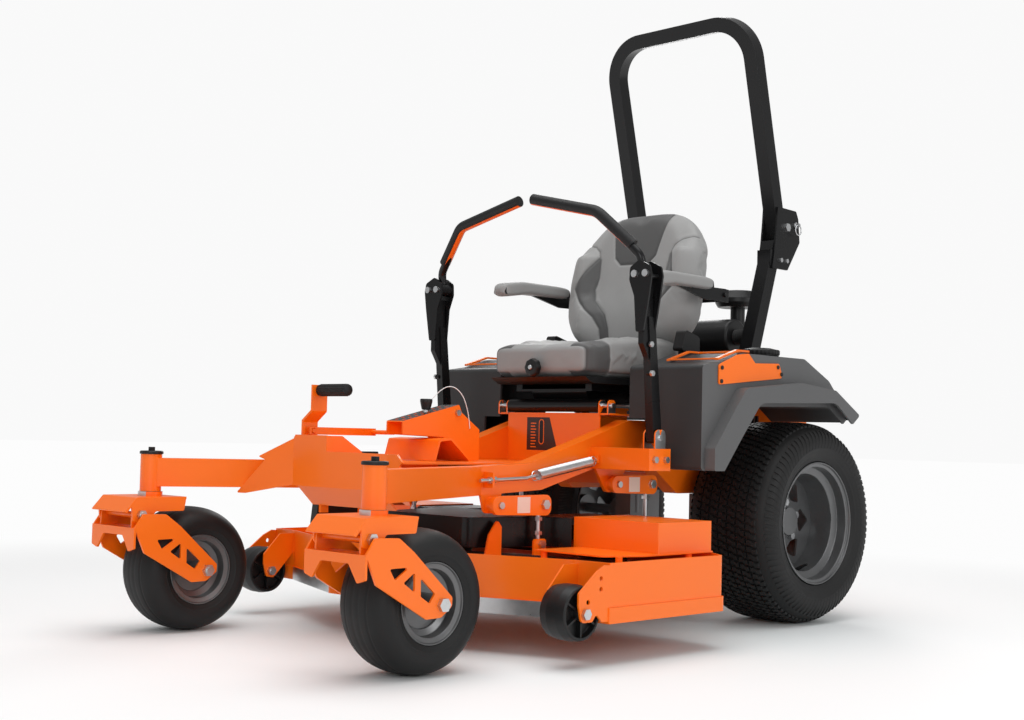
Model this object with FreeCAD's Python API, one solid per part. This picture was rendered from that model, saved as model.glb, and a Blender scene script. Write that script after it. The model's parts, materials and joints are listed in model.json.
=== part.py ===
import FreeCAD, Part
import math
import os

os.makedirs("parts", exist_ok=True)

# Zero turn mower.  Millimetres.  +X is the machine's left, +Y its rear, +Z up.
# The shapes are drawn with the rear axle at Y = 0 and the ground at Z = 0, and move
# along Y at the end, so that the origin is under the middle of the machine's length.

# ---------------------------------------------------------------- overall sizes
FRONT_Y = -1790.0              # front edge of the caster brackets
REAR_Y = 380.0                 # back face of the rear bumper
ORIGIN_SHIFT = -(FRONT_Y + REAR_Y) / 2

RUN_GAP = 0.05                 # radial clearance of every running shaft
FACE_GAP = 0.5                 # gap between faces that slide past each other
SHEET = 5.0                    # thickness of welded sheet parts

# ---------------------------------------------------------------- rear wheels
REAR_TYRE_R = 301.0
REAR_TYRE_W = 295.0
REAR_TRACK = 402.0             # from the centre plane to a rear wheel's middle
REAR_FLANGE_R = 183.0
REAR_BEAD_R = 168.0
REAR_DISC_OFFSET = 6.0         # wheel disc, outboard of the wheel's middle
REAR_AXLE_R = 16.0
TYRE_WALL = 9.0
AXLE_Z = REAR_TYRE_R

# ---------------------------------------------------------------- casters
CASTER_X = 461.0
CASTER_Y = -1667.0
CASTER_TRAIL = 117.5
CASTER_TYRE_R = 165.0
CASTER_TYRE_W = 165.0
CASTER_FLANGE_R = 93.0
CASTER_BEAD_R = 80.0
CASTER_AXLE_R = 9.5
CASTER_AXLE_Y = CASTER_Y + CASTER_TRAIL
CASTER_PIVOT_Y = -1743.0
CASTER_PIVOT_Z = 314.0
CASTER_PIVOT_R = 8.0
BRACKET_HALF = 85.0            # half width of the swivel bracket
BRACKET_TOP = 360.0
FORK_HALF = 105.0              # half width over the fork's arms
FORK_SHEET = 6.0
KINGPIN_R = 19.0
HEAD_R = 28.0
HEAD_LOW = 372.0
HEAD_HIGH = 470.0
CAP_R = 31.0

# ---------------------------------------------------------------- frame
ARM_WIDTH = 50.0
ARM_LOW = 385.0
ARM_HIGH = 460.0
TUBE_WALL = 4.0
RAIL_X = 210.0                 # middle of a main rail
RAIL_WIDTH = 50.0
RAIL_FRONT_Y = -1120.0
RAIL_REAR_Y = 300.0
RISER_Y = -600.0               # front face of the panel under the seat
RISER_TOP = 612.0
SEAT_HINGE_Y = -590.0
SEAT_HINGE_Z = 620.0
SEAT_PIN_R = 7.0
LEVER_X = 420.0
LEVER_Y = -640.0
LEVER_Z = 545.0
LEVER_PIN_R = 8.0
OUTRIGGER_TOP = 515.0
HITCH_Y = 345.0                # towing hole behind the rear cross member
HITCH_Z = 402.0
HITCH_SHEET = 10.0
HITCH_R = 10.0

# ---------------------------------------------------------------- deck
DECK_HALF = 668.0
DECK_LOW = 100.0
DECK_TOP = 244.0                # rim of the deck
DECK_PLATE = 206.0              # top face of the plate the spindles bolt to
DECK_CORNER_Y = -1103.0
DECK_NOSE_Y = -1246.0
DECK_NOSE_HALF = 215.0
DECK_SIDE_END_Y = -655.0
DECK_REAR_Y = -608.0
SPINDLE_X = 425.0
SPINDLE_Y = -860.0
CENTRE_SPINDLE_Y = -1000.0
SPINDLE_R = 12.5
BLADE_R = 218.0
BLADE_WIDTH = 64.0
BLADE_Z = 140.0
BLADE_THICK = 6.0
PULLEY_R = 70.0
PULLEY_LOW = 212.0
HOUSING_R = 38.0
COVER_TOP = 328.0
COVER_SPLIT_X = 311.0          # where the orange covers meet the middle one
COVER_SIDE_X = 602.0
COVER_FRONT_Y = -841.0
COVER_REAR_Y = -617.0
CHUTE_FRONT_Y = -960.0
CHUTE_REAR_Y = -690.0
CHUTE_HINGE_Z = 228.0
CHUTE_LENGTH = 250.0
CHUTE_HINGE_X = -DECK_HALF - 14
CHUTE_DEPTH = 28.0
SCALP_X = 619.0
SCALP_Y = -1190.0
SCALP_Z = 129.0
SCALP_R = 67.0
SCALP_HALF = 40.0
SCALP_BOLT_R = 8.0

# ---------------------------------------------------------------- deck lift
LIFT_X = 262.0                 # inner face of the lift arms
LIFT_SHEET = 12.0
FRONT_LIFT_Y = -1082.0
FRONT_LIFT_Z = 360.0
FRONT_LIFT_LENGTH = 165.0
REAR_LIFT_Y = -612.0
REAR_LIFT_Z = 411.0
REAR_LIFT_LENGTH = 145.0
LIFT_PIN_R = 9.0
SPRING_X = 262.0
HANGER_PIN_R = 6.0
HANGER_FOOT_R = 8.0
HANGER_FOOT_Z = (254.0, 280.0) # front and rear bolts of the hanger rods on the deck

# ---------------------------------------------------------------- engine
ENGINE_Y = 50.0
CLEANER_Y = 150.0
CLEANER_Z = 880.0

# ---------------------------------------------------------------- roll bar
ROLL_X = 280.0                 # middle of a roll bar post
ROLL_TUBE = 46.0
ROLL_PIVOT_Y = 148.0
ROLL_PIVOT_Z = 1228.0
ROLL_PIVOT_R = 8.0
ROLL_TOP = 1908.0
ROLL_CORNER = 150.0
POST_LEAN = 18.0               # degrees, rearwards going up
HOOP_LEAN = 14.0               # degrees, forwards going up
POST_FOOT_Z = 640.0
PLATE_SHEET = 6.0
PLATE_GAP = 0.2                # between a hinge plate and the hoop
LOCK_PIN_R = 6.0

# ---------------------------------------------------------------- seat
SEAT_HALF = 205.0
SEAT_FRONT_Y = -677.0
SEAT_LOW = 716.0
SEAT_HIGH = 812.0
BACK_HALF = 258.0
BACK_TOP = 1262.0
ARMREST_X = 292.0
ARMREST_Y = -165.0
ARMREST_Z = 985.0
ARMREST_PIN_R = 7.0
KNOB_Z = 742.0

# ---------------------------------------------------------------- hand levers
CLAMP_Z = 991.0
CLAMP_IN_X = 401.0             # pivot bolt of the lap bar
CLAMP_OUT_X = 439.0
CLAMP_PIN_R = 7.0
LAP_R = 12.5
GRIP_R = 16.5
GRIP_TIP_X = 28.0
GRIP_TIP_Z = 1229.0
GRIP_BEND_X = 276.0
GRIP_BEND_Z = 1172.0
GRIP_Y = -733.0

# ---------------------------------------------------------------- foot pedal and height rack
NOSE_Y = -1402.0               # front face of the nose panel
WING_X = 192.0                 # where the nose's wings start
NOSE_TOP = 531.0
NOSE_STEP = 489.0              # top of the nose panel's low side
FLOOR_Z = 468.0
PEDAL_X = -174.0               # middle of the pedal strap's lower end
PEDAL_STEP = 38.0              # sideways step of the strap
PEDAL_WIDTH = 50.0
PEDAL_SHEET = 6.0
PEDAL_Y = -1365.0
PEDAL_Z = 498.0
PEDAL_PIN_R = 8.0
PEDAL_TOP = 664.0
PEDAL_GRIP_Z = 650.0
PEDAL_GRIP_LENGTH = 118.0
LINK_Z = 542.0                 # pin between the pedal and its link
LINK_PIN_R = 6.0
LINK_PLAY = 0.4                # each side of the pin in the link's slot
LINK_X = -158.0
HEIGHT_PIN_Y = -1078.0
HEIGHT_PIN_Z = 601.0
HEIGHT_PIN_R = 7.0
LANYARD_R = 1.2
SEAT_EAR_X = 186.0             # inner ear of each seat hinge
CHUTE_FOLD = 98.0              # degrees, from lowered to folded up
LOCK_PIN_Y = 196.0
LOCK_PIN_Z = 1240.0
RACK_X = -30.0
RACK_HALF = 34.0


def vec(x, y, z):
    return FreeCAD.Vector(x, y, z)


def lay(plane, a, b, depth):
    """Point with a and b in a plane named by its normal, and depth along that normal."""
    if plane == "x":
        return vec(depth, a, b)
    if plane == "y":
        return vec(a, depth, b)
    return vec(a, b, depth)


def rounded_edges(spots, radii):
    """Edges of a closed outline whose corners are tangent arcs of the given radii."""
    starts = []
    ends = []
    middles = []
    count = len(spots)
    for i, spot in enumerate(spots):
        before = (spots[i - 1] - spot).normalize()
        after = (spots[(i + 1) % count] - spot).normalize()
        if radii[i] <= 0:
            starts.append(spot)
            ends.append(spot)
            middles.append(None)
            continue
        half = before.getAngle(after) / 2
        middle = (before + after).normalize()
        centre = spot + middle * (radii[i] / math.sin(half))
        starts.append(spot + before * (radii[i] / math.tan(half)))
        ends.append(spot + after * (radii[i] / math.tan(half)))
        middles.append(centre - middle * radii[i])
    edges = []
    for i in range(count):
        if middles[i] is not None:
            edges.append(Part.Arc(starts[i], middles[i], ends[i]).toShape())
        run_end = starts[(i + 1) % count]
        if ends[i].distanceToPoint(run_end) > 1e-6:
            edges.append(Part.LineSegment(ends[i], run_end).toShape())
    return edges


def face(plane, points, depth, corner=0.0):
    """Flat face of an outline; a point's third number is its own corner radius."""
    spots = [lay(plane, p[0], p[1], depth) for p in points]
    radii = [p[2] if len(p) > 2 else corner for p in points]
    return Part.Face(Part.Wire(rounded_edges(spots, radii)))


def prism(plane, points, low, high, corner=0.0):
    """Outline in a plane, carried along the plane's normal from low to high."""
    return face(plane, points, low, corner).extrude(lay(plane, 0, 0, high - low))


def block(x, y, z):
    """Box from (low, high) pairs."""
    return Part.makeBox(x[1] - x[0], y[1] - y[0], z[1] - z[0], vec(x[0], y[0], z[0]))


def rod(start, end, radius):
    """Round bar between two points."""
    start = vec(*start)
    line = vec(*end) - start
    return Part.makeCylinder(radius, line.Length, start, line)


def pipe(start, end, outer, inner):
    return rod(start, end, outer).cut(rod(start, end, inner))


def ring_x(y, z, x, outer, inner):
    return pipe((x[0], y, z), (x[1], y, z), outer, inner)


def hexagon(start, end, across):
    """Hexagon bar between two points, such as a bolt head or a nut."""
    start = vec(*start)
    line = vec(*end) - start
    helper = vec(0, 0, 1) if abs(line.z) < 0.9 * line.Length else vec(1, 0, 0)
    side = line.cross(helper).normalize()
    other = line.cross(side).normalize()
    radius = across / math.sqrt(3)
    spots = []
    for k in range(6):
        turn = math.radians(60 * k)
        spots.append(start + side * (radius * math.cos(turn)) + other * (radius * math.sin(turn)))
    return Part.Face(Part.Wire(rounded_edges(spots, [0] * 6))).extrude(line)


def turned_x(points, y, z, corner=0.0):
    """Profile of (x, radius) points, turned about the line along X through y and z."""
    spots = [vec(p[0], y, z + p[1]) for p in points]
    radii = [p[2] if len(p) > 2 else corner for p in points]
    profile = Part.Face(Part.Wire(rounded_edges(spots, radii)))
    return profile.revolve(vec(0, y, z), vec(1, 0, 0), 360)


def turned_z(points, x, y, corner=0.0):
    """Profile of (radius, z) points, turned about the line along Z through x and y."""
    spots = [vec(x + p[0], y, p[1]) for p in points]
    radii = [p[2] if len(p) > 2 else corner for p in points]
    profile = Part.Face(Part.Wire(rounded_edges(spots, radii)))
    return profile.revolve(vec(x, y, 0), vec(0, 0, 1), 360)


def route(points, radii):
    """Open path of straight runs joined by tangent arcs, one radius per inner point."""
    spots = [vec(*p) for p in points]
    edges = []
    here = spots[0]
    for i in range(1, len(spots) - 1):
        before = (spots[i - 1] - spots[i]).normalize()
        after = (spots[i + 1] - spots[i]).normalize()
        half = before.getAngle(after) / 2
        middle = (before + after).normalize()
        reach = radii[i - 1] / math.tan(half)
        start = spots[i] + before * reach
        end = spots[i] + after * reach
        centre = spots[i] + middle * (radii[i - 1] / math.sin(half))
        if here.distanceToPoint(start) > 1e-6:
            edges.append(Part.LineSegment(here, start).toShape())
        edges.append(Part.Arc(start, centre - middle * radii[i - 1], end).toShape())
        here = end
    edges.append(Part.LineSegment(here, spots[-1]).toShape())
    return Part.Wire(edges)


def bent_rod(points, radii, radius):
    """Round bar along a route."""
    path = route(points, radii)
    start = vec(*points[0])
    line = vec(*points[1]) - start
    circle = Part.Wire(Part.makeCircle(radius, start, line))
    return path.makePipeShell([circle], True, True)


def union(shapes):
    whole = shapes[0]
    if len(shapes) > 1:
        whole = whole.fuse(shapes[1:])
    return whole.removeSplitter()


def mirrored(shape):
    return shape.mirror(vec(0, 0, 0), vec(1, 0, 0))


def both(shapes):
    """Left-hand shapes and their right-hand mirror images."""
    return list(shapes) + [mirrored(s) for s in shapes]


def save(node, shapes):
    """Write one node as a group of its separate solids."""
    solids = [solid for shape in shapes for solid in shape.Solids]
    group = Part.Compound(solids)
    group.translate(vec(0, ORIGIN_SHIFT, 0))
    for index, solid in enumerate(solids):
        if not solid.isValid():
            print("not valid:", node, index)
    group.exportStep("parts/" + node + ".step")


def save_pair(name, shapes):
    """Write a left-hand node and its right-hand mirror image."""
    save("left_" + name, shapes)
    save("right_" + name, [mirrored(s) for s in shapes])


def head_and_nut(x, y, z, radius, nut_x):
    """Bolt along X with its head at x and its nut at nut_x."""
    side = 1 if x > nut_x else -1
    height = radius * 1.1
    return union([rod((nut_x - side * height * 1.3, y, z), (x, y, z), radius),
                  hexagon((x, y, z), (x + side * height, y, z), radius * 3),
                  hexagon((nut_x - side * height, y, z), (nut_x, y, z), radius * 3)])


# ================================================================ frame
def arm_outline(half, y_start, y_end):
    """Plan of a splayed front arm, half wide each side of its middle line."""
    run = vec(RAIL_X - CASTER_X, RAIL_FRONT_Y - CASTER_Y, 0).normalize()
    side = vec(-run.y, run.x, 0)
    spots = []
    for y, sign in ((y_start, -1), (y_end, -1), (y_end, 1), (y_start, 1)):
        along = (y - CASTER_Y - side.y * half * sign) / run.y
        spot = vec(CASTER_X, CASTER_Y, 0) + run * along + side * (half * sign)
        spots.append((spot.x, spot.y))
    return spots


def front_arms():
    """Splayed rectangular tubes from the caster heads to the main rails."""
    outer = prism("z", arm_outline(ARM_WIDTH / 2, CASTER_Y + 2, RAIL_FRONT_Y), ARM_LOW, ARM_HIGH)
    inner = prism("z", arm_outline(ARM_WIDTH / 2 - TUBE_WALL, CASTER_Y + HEAD_R, RAIL_FRONT_Y + 1),
                  ARM_LOW + TUBE_WALL, ARM_HIGH - TUBE_WALL)
    head = rod((CASTER_X, CASTER_Y, HEAD_LOW), (CASTER_X, CASTER_Y, HEAD_HIGH), HEAD_R)
    bore = rod((CASTER_X, CASTER_Y, HEAD_LOW - 1), (CASTER_X, CASTER_Y, HEAD_HIGH + 1),
               KINGPIN_R + RUN_GAP)
    return both([union([outer.cut(inner), head]).cut(bore)])


RAIL_SIDE = [(RAIL_FRONT_Y, ARM_LOW), (-890, 397, 40), (-650, 462, 30), (-420, 462, 20),
             (-300, 380, 20), (RAIL_REAR_Y, 380), (RAIL_REAR_Y, 470), (-250, 470, 30),
             (-400, 594, 20), (-525, 594, 20), (-715, 534, 60), (-942, 468, 60),
             (RAIL_FRONT_Y, ARM_HIGH)]


def frame_rails():
    """Main rails, cross members, lever outriggers, lift pivots and the post feet."""
    low = RAIL_X - RAIL_WIDTH / 2
    high = RAIL_X + RAIL_WIDTH / 2
    rail = prism("x", RAIL_SIDE, low, high)
    hollow = [(RAIL_FRONT_Y - 1, ARM_LOW + TUBE_WALL), (-888, 402), (-652, 467), (-416, 467),
              (-296, 385), (RAIL_REAR_Y + 1, 385), (RAIL_REAR_Y + 1, 465), (-253, 465),
              (-403, 589), (-524, 589), (-716, 529), (-943, 463),
              (RAIL_FRONT_Y - 1, ARM_HIGH - TUBE_WALL)]
    rail = rail.cut(prism("x", hollow, low + TUBE_WALL, high - TUBE_WALL))
    outrigger = block((high, 446), (-692, -600), (455, OUTRIGGER_TOP))
    outrigger = outrigger.cut(block((high + 1, 442), (-687, -605), (450, OUTRIGGER_TOP - 5)))
    lug_points = [(LEVER_Y - 22, OUTRIGGER_TOP), (LEVER_Y + 22, OUTRIGGER_TOP),
                  (LEVER_Y + 22, LEVER_Z + 22, 16), (LEVER_Y - 22, LEVER_Z + 22, 16)]
    lugs = [prism("x", lug_points, LEVER_X - 22, LEVER_X - 17),
            prism("x", lug_points, LEVER_X + 17, LEVER_X + 22)]
    lever_pin = rod((LEVER_X - 26, LEVER_Y, LEVER_Z), (LEVER_X + 26, LEVER_Y, LEVER_Z), LEVER_PIN_R)
    front_boss = rod((high - 1, FRONT_LIFT_Y, FRONT_LIFT_Z),
                     (LIFT_X - FACE_GAP, FRONT_LIFT_Y, FRONT_LIFT_Z), 20)
    front_stub = rod((high - 1, FRONT_LIFT_Y, FRONT_LIFT_Z),
                     (LIFT_X + LIFT_SHEET + 6, FRONT_LIFT_Y, FRONT_LIFT_Z), LIFT_PIN_R)
    front_hanger = prism("x", [(-1120, 392), (-1040, 394), (-1060, 338, 15), (-1104, 338, 15)],
                         high - 8, high)
    rear_boss = rod((high + 8, REAR_LIFT_Y, REAR_LIFT_Z),
                    (LIFT_X - FACE_GAP, REAR_LIFT_Y, REAR_LIFT_Z), 20)
    rear_stub = rod((high + 8, REAR_LIFT_Y, REAR_LIFT_Z),
                    (LIFT_X + LIFT_SHEET + 6, REAR_LIFT_Y, REAR_LIFT_Z), LIFT_PIN_R)
    rear_hanger = prism("x", [(-690, 470), (-540, 470), (-590, 388, 15), (-634, 388, 15)],
                        high - 1, high + 9)
    foot = union([block((low, ROLL_X + 25), (-150, -30), (POST_FOOT_Z - 8, POST_FOOT_Z)),
                  prism("x", [(-250, 470), (-20, 470), (-40, POST_FOOT_Z - 4), (-150, POST_FOOT_Z - 4)],
                        low, low + 6)])
    side = union([rail, outrigger, *lugs, lever_pin, front_boss, front_stub, front_hanger,
                  rear_boss, rear_stub, rear_hanger, foot])
    hitch = block((-40, 40), (RAIL_REAR_Y - 1, RAIL_REAR_Y + 70), (HITCH_Z - HITCH_SHEET, HITCH_Z))
    hitch = hitch.cut(rod((0, HITCH_Y, HITCH_Z - HITCH_SHEET - 1), (0, HITCH_Y, HITCH_Z + 1), HITCH_R))
    cross = [hitch, block((-low, low), (RAIL_REAR_Y - 40, RAIL_REAR_Y), (390, 460)),
             block((-low, low), (-340, -300), (400, 440)),
             block((-low, low), (RAIL_FRONT_Y, RAIL_FRONT_Y + 40), (395, 450))]
    return [union(both([side]) + cross)]


def nose_pan():
    """Front panel between the arms, its swept wings, the pedal box and the floor."""
    back = NOSE_Y + SHEET
    box_x = -52.0
    panel = prism("y", [(-WING_X, 396), (WING_X, 396), (WING_X, NOSE_STEP, 4), (box_x, NOSE_STEP),
                        (box_x, NOSE_TOP, 3), (-WING_X + 6, NOSE_TOP, 4), (-WING_X, NOSE_TOP - 8)],
                  NOSE_Y, back)
    apron = prism("x", [(back - 2, 400), (NOSE_Y, 396), (NOSE_Y + 52, 346), (NOSE_Y + 56, 350)],
                  -WING_X + 22, WING_X - 22)
    lug = block((-140, -130), (NOSE_Y + 50, NOSE_Y + 74), (326, 349))
    wing = prism("y", [(-WING_X, NOSE_TOP - 10), (-WING_X, 398), (-340, 370, 3), (-368, 370, 3),
                       (-280, 462, 2), (-302, 470, 2)], 0, SHEET)
    sweep = math.degrees(math.atan2(68, 172))
    wing.rotate(vec(-WING_X, 0, 0), vec(0, 0, 1), sweep)
    wing.translate(vec(0, NOSE_Y, 0))
    low_wing = wing.cut(block((-500, 0), (NOSE_Y - 200, back + 20), (NOSE_STEP, NOSE_TOP + 5)))
    wings = [wing, mirrored(low_wing)]
    box_side = prism("x", [(back, FLOOR_Z), (back, NOSE_TOP - 1), (-1350, NOSE_TOP - 1, 4),
                           (-1282, NOSE_STEP, 4), (-1282, FLOOR_Z)], box_x - SHEET, box_x)
    floor = block((-182, 182), (back, RISER_Y - FACE_GAP), (FLOOR_Z - SHEET, FLOOR_Z))
    ribs = [block((x - 3, x + 3), (back, -1150), (400, FLOOR_Z - 4)) for x in (-100, 100)]
    lug_x = (PEDAL_X - 12, PEDAL_X + 62)
    pedal_lugs = [block((x - 2.5, x + 2.5), (PEDAL_Y - 18, PEDAL_Y + 18), (FLOOR_Z - 2, PEDAL_Z + 14))
                  for x in lug_x]
    pedal_pin = rod((lug_x[0] - 4, PEDAL_Y, PEDAL_Z), (lug_x[1] + 4, PEDAL_Y, PEDAL_Z), PEDAL_PIN_R)
    body = union([panel, apron, lug, *wings, floor, *ribs, box_side, *pedal_lugs, pedal_pin])
    for arm in both([prism("z", arm_outline(ARM_WIDTH / 2 + 0.2, CASTER_Y, RAIL_FRONT_Y), ARM_LOW - 0.2,
                           ARM_HIGH + 0.2)]):
        body = body.cut(arm)
    return body.Solids


def lift_tower():
    """Arched guard over the lift linkage, and the sloping height rack on top of it."""
    high = 60.0
    low = -150.0
    base = FLOOR_Z + 1
    outer = [(-1124, base), (-1107, 527, 6), (-1061, 531, 6), (-987, base)]
    inner = [(-1119, base - 1), (-1103, 521, 6), (-1064, 525, 6), (-994, base - 1)]
    guard = prism("x", outer, low, high).cut(prism("x", inner, low - 1, high + 1))
    left = RACK_X - RACK_HALF
    right = RACK_X + RACK_HALF
    side = [(-1190, 538, 5), (-1190, 574, 5), (-985, 624, 5), (-975, 602, 8), (-905, 556, 5),
            (-905, FLOOR_Z + 1), (-986, FLOOR_Z + 1), (-1040, 533)]
    rack = prism("x", side, left, right)
    hollow = [(-1200, 530), (-1200, 569), (-990, 619), (-890, 560), (-890, 470), (-983, 470),
              (-1040, 527)]
    rack = rack.cut(prism("x", hollow, left + SHEET, right - SHEET))
    slope = math.atan2(50, 205)
    for row in range(8):
        y = -1170 + row * 22
        z = 574 + (y + 1190) * math.tan(slope)
        for x in (left + 19, right - 19):
            hole = rod((x, y + 4, z - 16), (x, y - 4, z + 16), 5.0)
            rack = rack.cut(hole)
    pin_hole = rod((RACK_X, HEIGHT_PIN_Y, 560), (RACK_X, HEIGHT_PIN_Y, 660), HEIGHT_PIN_R + RUN_GAP)
    return [guard, rack.cut(pin_hole)]


def height_pin():
    """Stop pin of the cutting height with its tapered knob."""
    shank = rod((RACK_X, HEIGHT_PIN_Y, 575), (RACK_X, HEIGHT_PIN_Y, HEIGHT_PIN_Z + 8), HEIGHT_PIN_R)
    knob = turned_z([(0, HEIGHT_PIN_Z + 6), (12, HEIGHT_PIN_Z + 6), (17, HEIGHT_PIN_Z + 28, 3),
                     (17, HEIGHT_PIN_Z + 36, 3), (0, HEIGHT_PIN_Z + 36)], RACK_X, HEIGHT_PIN_Y)
    return [union([shank, knob])]


LANYARD = [(-30, -1058, 636), (-22, -1030, 668), (-2, -1004, 676), (8, -976, 652),
           (9, -958, 612), (7, -948, 578), (5.4, -944, 558)]


def lanyard_radii():
    """Largest arc at each inner point that its two runs leave room for."""
    radii = []
    for i in range(1, len(LANYARD) - 1):
        before = vec(*LANYARD[i]) - vec(*LANYARD[i - 1])
        after = vec(*LANYARD[i + 1]) - vec(*LANYARD[i])
        shorter = min(before.Length, after.Length)
        radii.append(0.45 * shorter / math.tan(before.getAngle(after) / 2))
    return radii


def pin_lanyard():
    """Thin wire from the height pin's knob to the rack's side."""
    radii = lanyard_radii()
    print("lanyard radii:", [round(r, 1) for r in radii])
    wire = bent_rod(LANYARD, radii, LANYARD_R)
    length = route(LANYARD, radii).Length
    print("lanyard length:", round(length, 1), "volume ratio:",
          round(wire.Volume / (math.pi * LANYARD_R ** 2 * length), 3))
    return [wire]


def seat_riser():
    """Panel under the seat's front edge, its top plate and the seat hinge ears."""
    half = RAIL_X - RAIL_WIDTH / 2
    front = block((-half, half), (RISER_Y, RISER_Y + SHEET), (FLOOR_Z, RISER_TOP))
    top = block((-half, half), (RISER_Y, -260), (RISER_TOP - SHEET, RISER_TOP))
    slot = prism("y", [(-52, 520, 8), (-36, 520, 8), (-36, 590, 8), (-52, 590, 8)],
                 RISER_Y - 1, RISER_Y + 1)
    ears = []
    for x in (SEAT_EAR_X, SEAT_EAR_X + 34):
        ear = prism("x", [(SEAT_HINGE_Y - 16, RISER_TOP - 4), (SEAT_HINGE_Y + 16, RISER_TOP - 4),
                          (SEAT_HINGE_Y + 16, SEAT_HINGE_Z + 30, 13),
                          (SEAT_HINGE_Y - 16, SEAT_HINGE_Z + 30, 13)], x - 2.5, x + 2.5)
        ears.append(ear)
    pad = block((SEAT_EAR_X - 5, SEAT_EAR_X + 39), (RISER_Y, -560), (RISER_TOP - SHEET, RISER_TOP))
    pin = rod((SEAT_EAR_X - 6, SEAT_HINGE_Y, SEAT_HINGE_Z + 14),
              (SEAT_EAR_X + 42, SEAT_HINGE_Y, SEAT_HINGE_Z + 14), SEAT_PIN_R)
    return [union([front, top] + both(ears + [pad, pin])).cut(slot)]


def rear_bumper():
    """Bent guard plate round the back of the engine."""
    reach = 80.0
    outer = [(-296, 206), (-296, REAR_Y - reach, 12), (-218, REAR_Y, 25), (218, REAR_Y, 25),
             (296, REAR_Y - reach, 12), (296, 206)]
    inner = [(291, 206), (291, REAR_Y - reach - 2, 10), (216, REAR_Y - SHEET, 23),
             (-216, REAR_Y - SHEET, 23), (-291, REAR_Y - reach - 2, 10), (-291, 206)]
    band = prism("z", outer + inner, 600, 735)
    upper = prism("z", [(-240, REAR_Y - 40), (-200, REAR_Y - SHEET), (200, REAR_Y - SHEET),
                        (240, REAR_Y - 40), (200, REAR_Y - 60), (-200, REAR_Y - 60)], 735, 740)
    legs = []
    for x in (-210, 210):
        legs.append(block((x - 22, x + 22), (RAIL_REAR_Y - 12, REAR_Y - SHEET), (600, 606)))
        legs.append(block((x - 22, x + 22), (RAIL_REAR_Y, RAIL_REAR_Y + 6), (385, 606)))
    return [union([band, upper, *legs])]


# ================================================================ rear wheels and drive
def rear_tyre():
    """Left rear tyre, a hollow carcass open to the rim."""
    half = REAR_TYRE_W / 2
    x = REAR_TRACK
    seat = REAR_BEAD_R + 4
    outer = [(x - 121.8, seat), (x - 121.8, REAR_FLANGE_R + 0.5), (x - 138, REAR_FLANGE_R + 2, 4),
             (x - half, REAR_TYRE_R - 60, 40),
             (x - half + 22, REAR_TYRE_R - 8, 20), (x - 60, REAR_TYRE_R, 60), (x + 60, REAR_TYRE_R, 60),
             (x + half - 22, REAR_TYRE_R - 8, 20), (x + half, REAR_TYRE_R - 60, 40),
             (x + 138, REAR_FLANGE_R + 2, 4), (x + 121.8, REAR_FLANGE_R + 0.5), (x + 121.8, seat)]
    inner = [(x + 108, seat), (x + 118, REAR_FLANGE_R + 6, 8),
             (x + half - TYRE_WALL, REAR_TYRE_R - 62, 34), (x + half - 34, REAR_TYRE_R - 20, 20),
             (x - half + 34, REAR_TYRE_R - 20, 20), (x - half + TYRE_WALL, REAR_TYRE_R - 62, 34),
             (x - 118, REAR_FLANGE_R + 6, 8), (x - 108, seat)]
    return [turned_x(outer + inner, 0, AXLE_Z)]


def rear_rim():
    """Left rear rim: drum with rolled flanges, pierced disc and hub."""
    x = REAR_TRACK
    seat = REAR_BEAD_R + 4
    drum = [(x - 134, REAR_FLANGE_R, 2), (x - 122.5, REAR_FLANGE_R - 2, 2), (x - 122, seat - 0.5),
            (x - 92, seat - 0.5, 3), (x - 84, seat - 22, 3), (x + 84, seat - 22, 3),
            (x + 92, seat - 0.5, 3), (x + 122, seat - 0.5), (x + 122.5, REAR_FLANGE_R - 2, 2),
            (x + 134, REAR_FLANGE_R, 2), (x + 134, REAR_FLANGE_R - 4, 2), (x + 127, REAR_FLANGE_R - 6, 2),
            (x + 126, seat - 4, 3), (x + 95, seat - 4.5, 3), (x + 87, seat - 26, 3),
            (x - 87, seat - 26, 3), (x - 95, seat - 4.5, 3), (x - 126, seat - 4, 3),
            (x - 127, REAR_FLANGE_R - 6, 2), (x - 134, REAR_FLANGE_R - 4, 2)]
    barrel = turned_x(drum, 0, AXLE_Z)
    disc_x = x + REAR_DISC_OFFSET
    disc = ring_x(0, AXLE_Z, (disc_x, disc_x + 6), seat - 24, REAR_AXLE_R + RUN_GAP)
    for k in range(6):
        turn = 60 * k + 30
        window = prism("x", [(-40, 84, 8), (0, 132, 10), (40, 84, 8), (0, 72, 10)], disc_x - 1, disc_x + 7)
        window.rotate(vec(0, 0, 0), vec(1, 0, 0), turn)
        window.translate(vec(0, 0, AXLE_Z))
        disc = disc.cut(window)
    hub = ring_x(0, AXLE_Z, (disc_x - 22, disc_x + 14), 44, REAR_AXLE_R + RUN_GAP)
    cap = rod((disc_x + 22, 0, AXLE_Z), (disc_x + 28, 0, AXLE_Z), 42)
    cap_wall = ring_x(0, AXLE_Z, (disc_x + 13, disc_x + 23), 42, 36)
    lugs = []
    for k in range(5):
        turn = math.radians(72 * k)
        y = 57 * math.sin(turn)
        z = AXLE_Z + 57 * math.cos(turn)
        lugs.append(hexagon((disc_x + 5.9, y, z), (disc_x + 18, y, z), 19))
    return [union([barrel, disc, hub, cap_wall, cap, *lugs])]


def transaxles():
    """Hydrostatic drive units under the rails, each with its axle."""
    case = union([block((120, 184), (-90, 60), (235, 372)),
                  rod((150, 0, AXLE_Z), (246, 0, AXLE_Z), 46),
                  rod((148, -56, 300), (148, -56, 388), 30)])
    axle = rod((240, 0, AXLE_Z), (REAR_TRACK + REAR_DISC_OFFSET + 18, 0, AXLE_Z), REAR_AXLE_R)
    mount = block((184, 192), (-80, 50), (330, 379.9))
    return both([union([case, axle, mount])])


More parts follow.
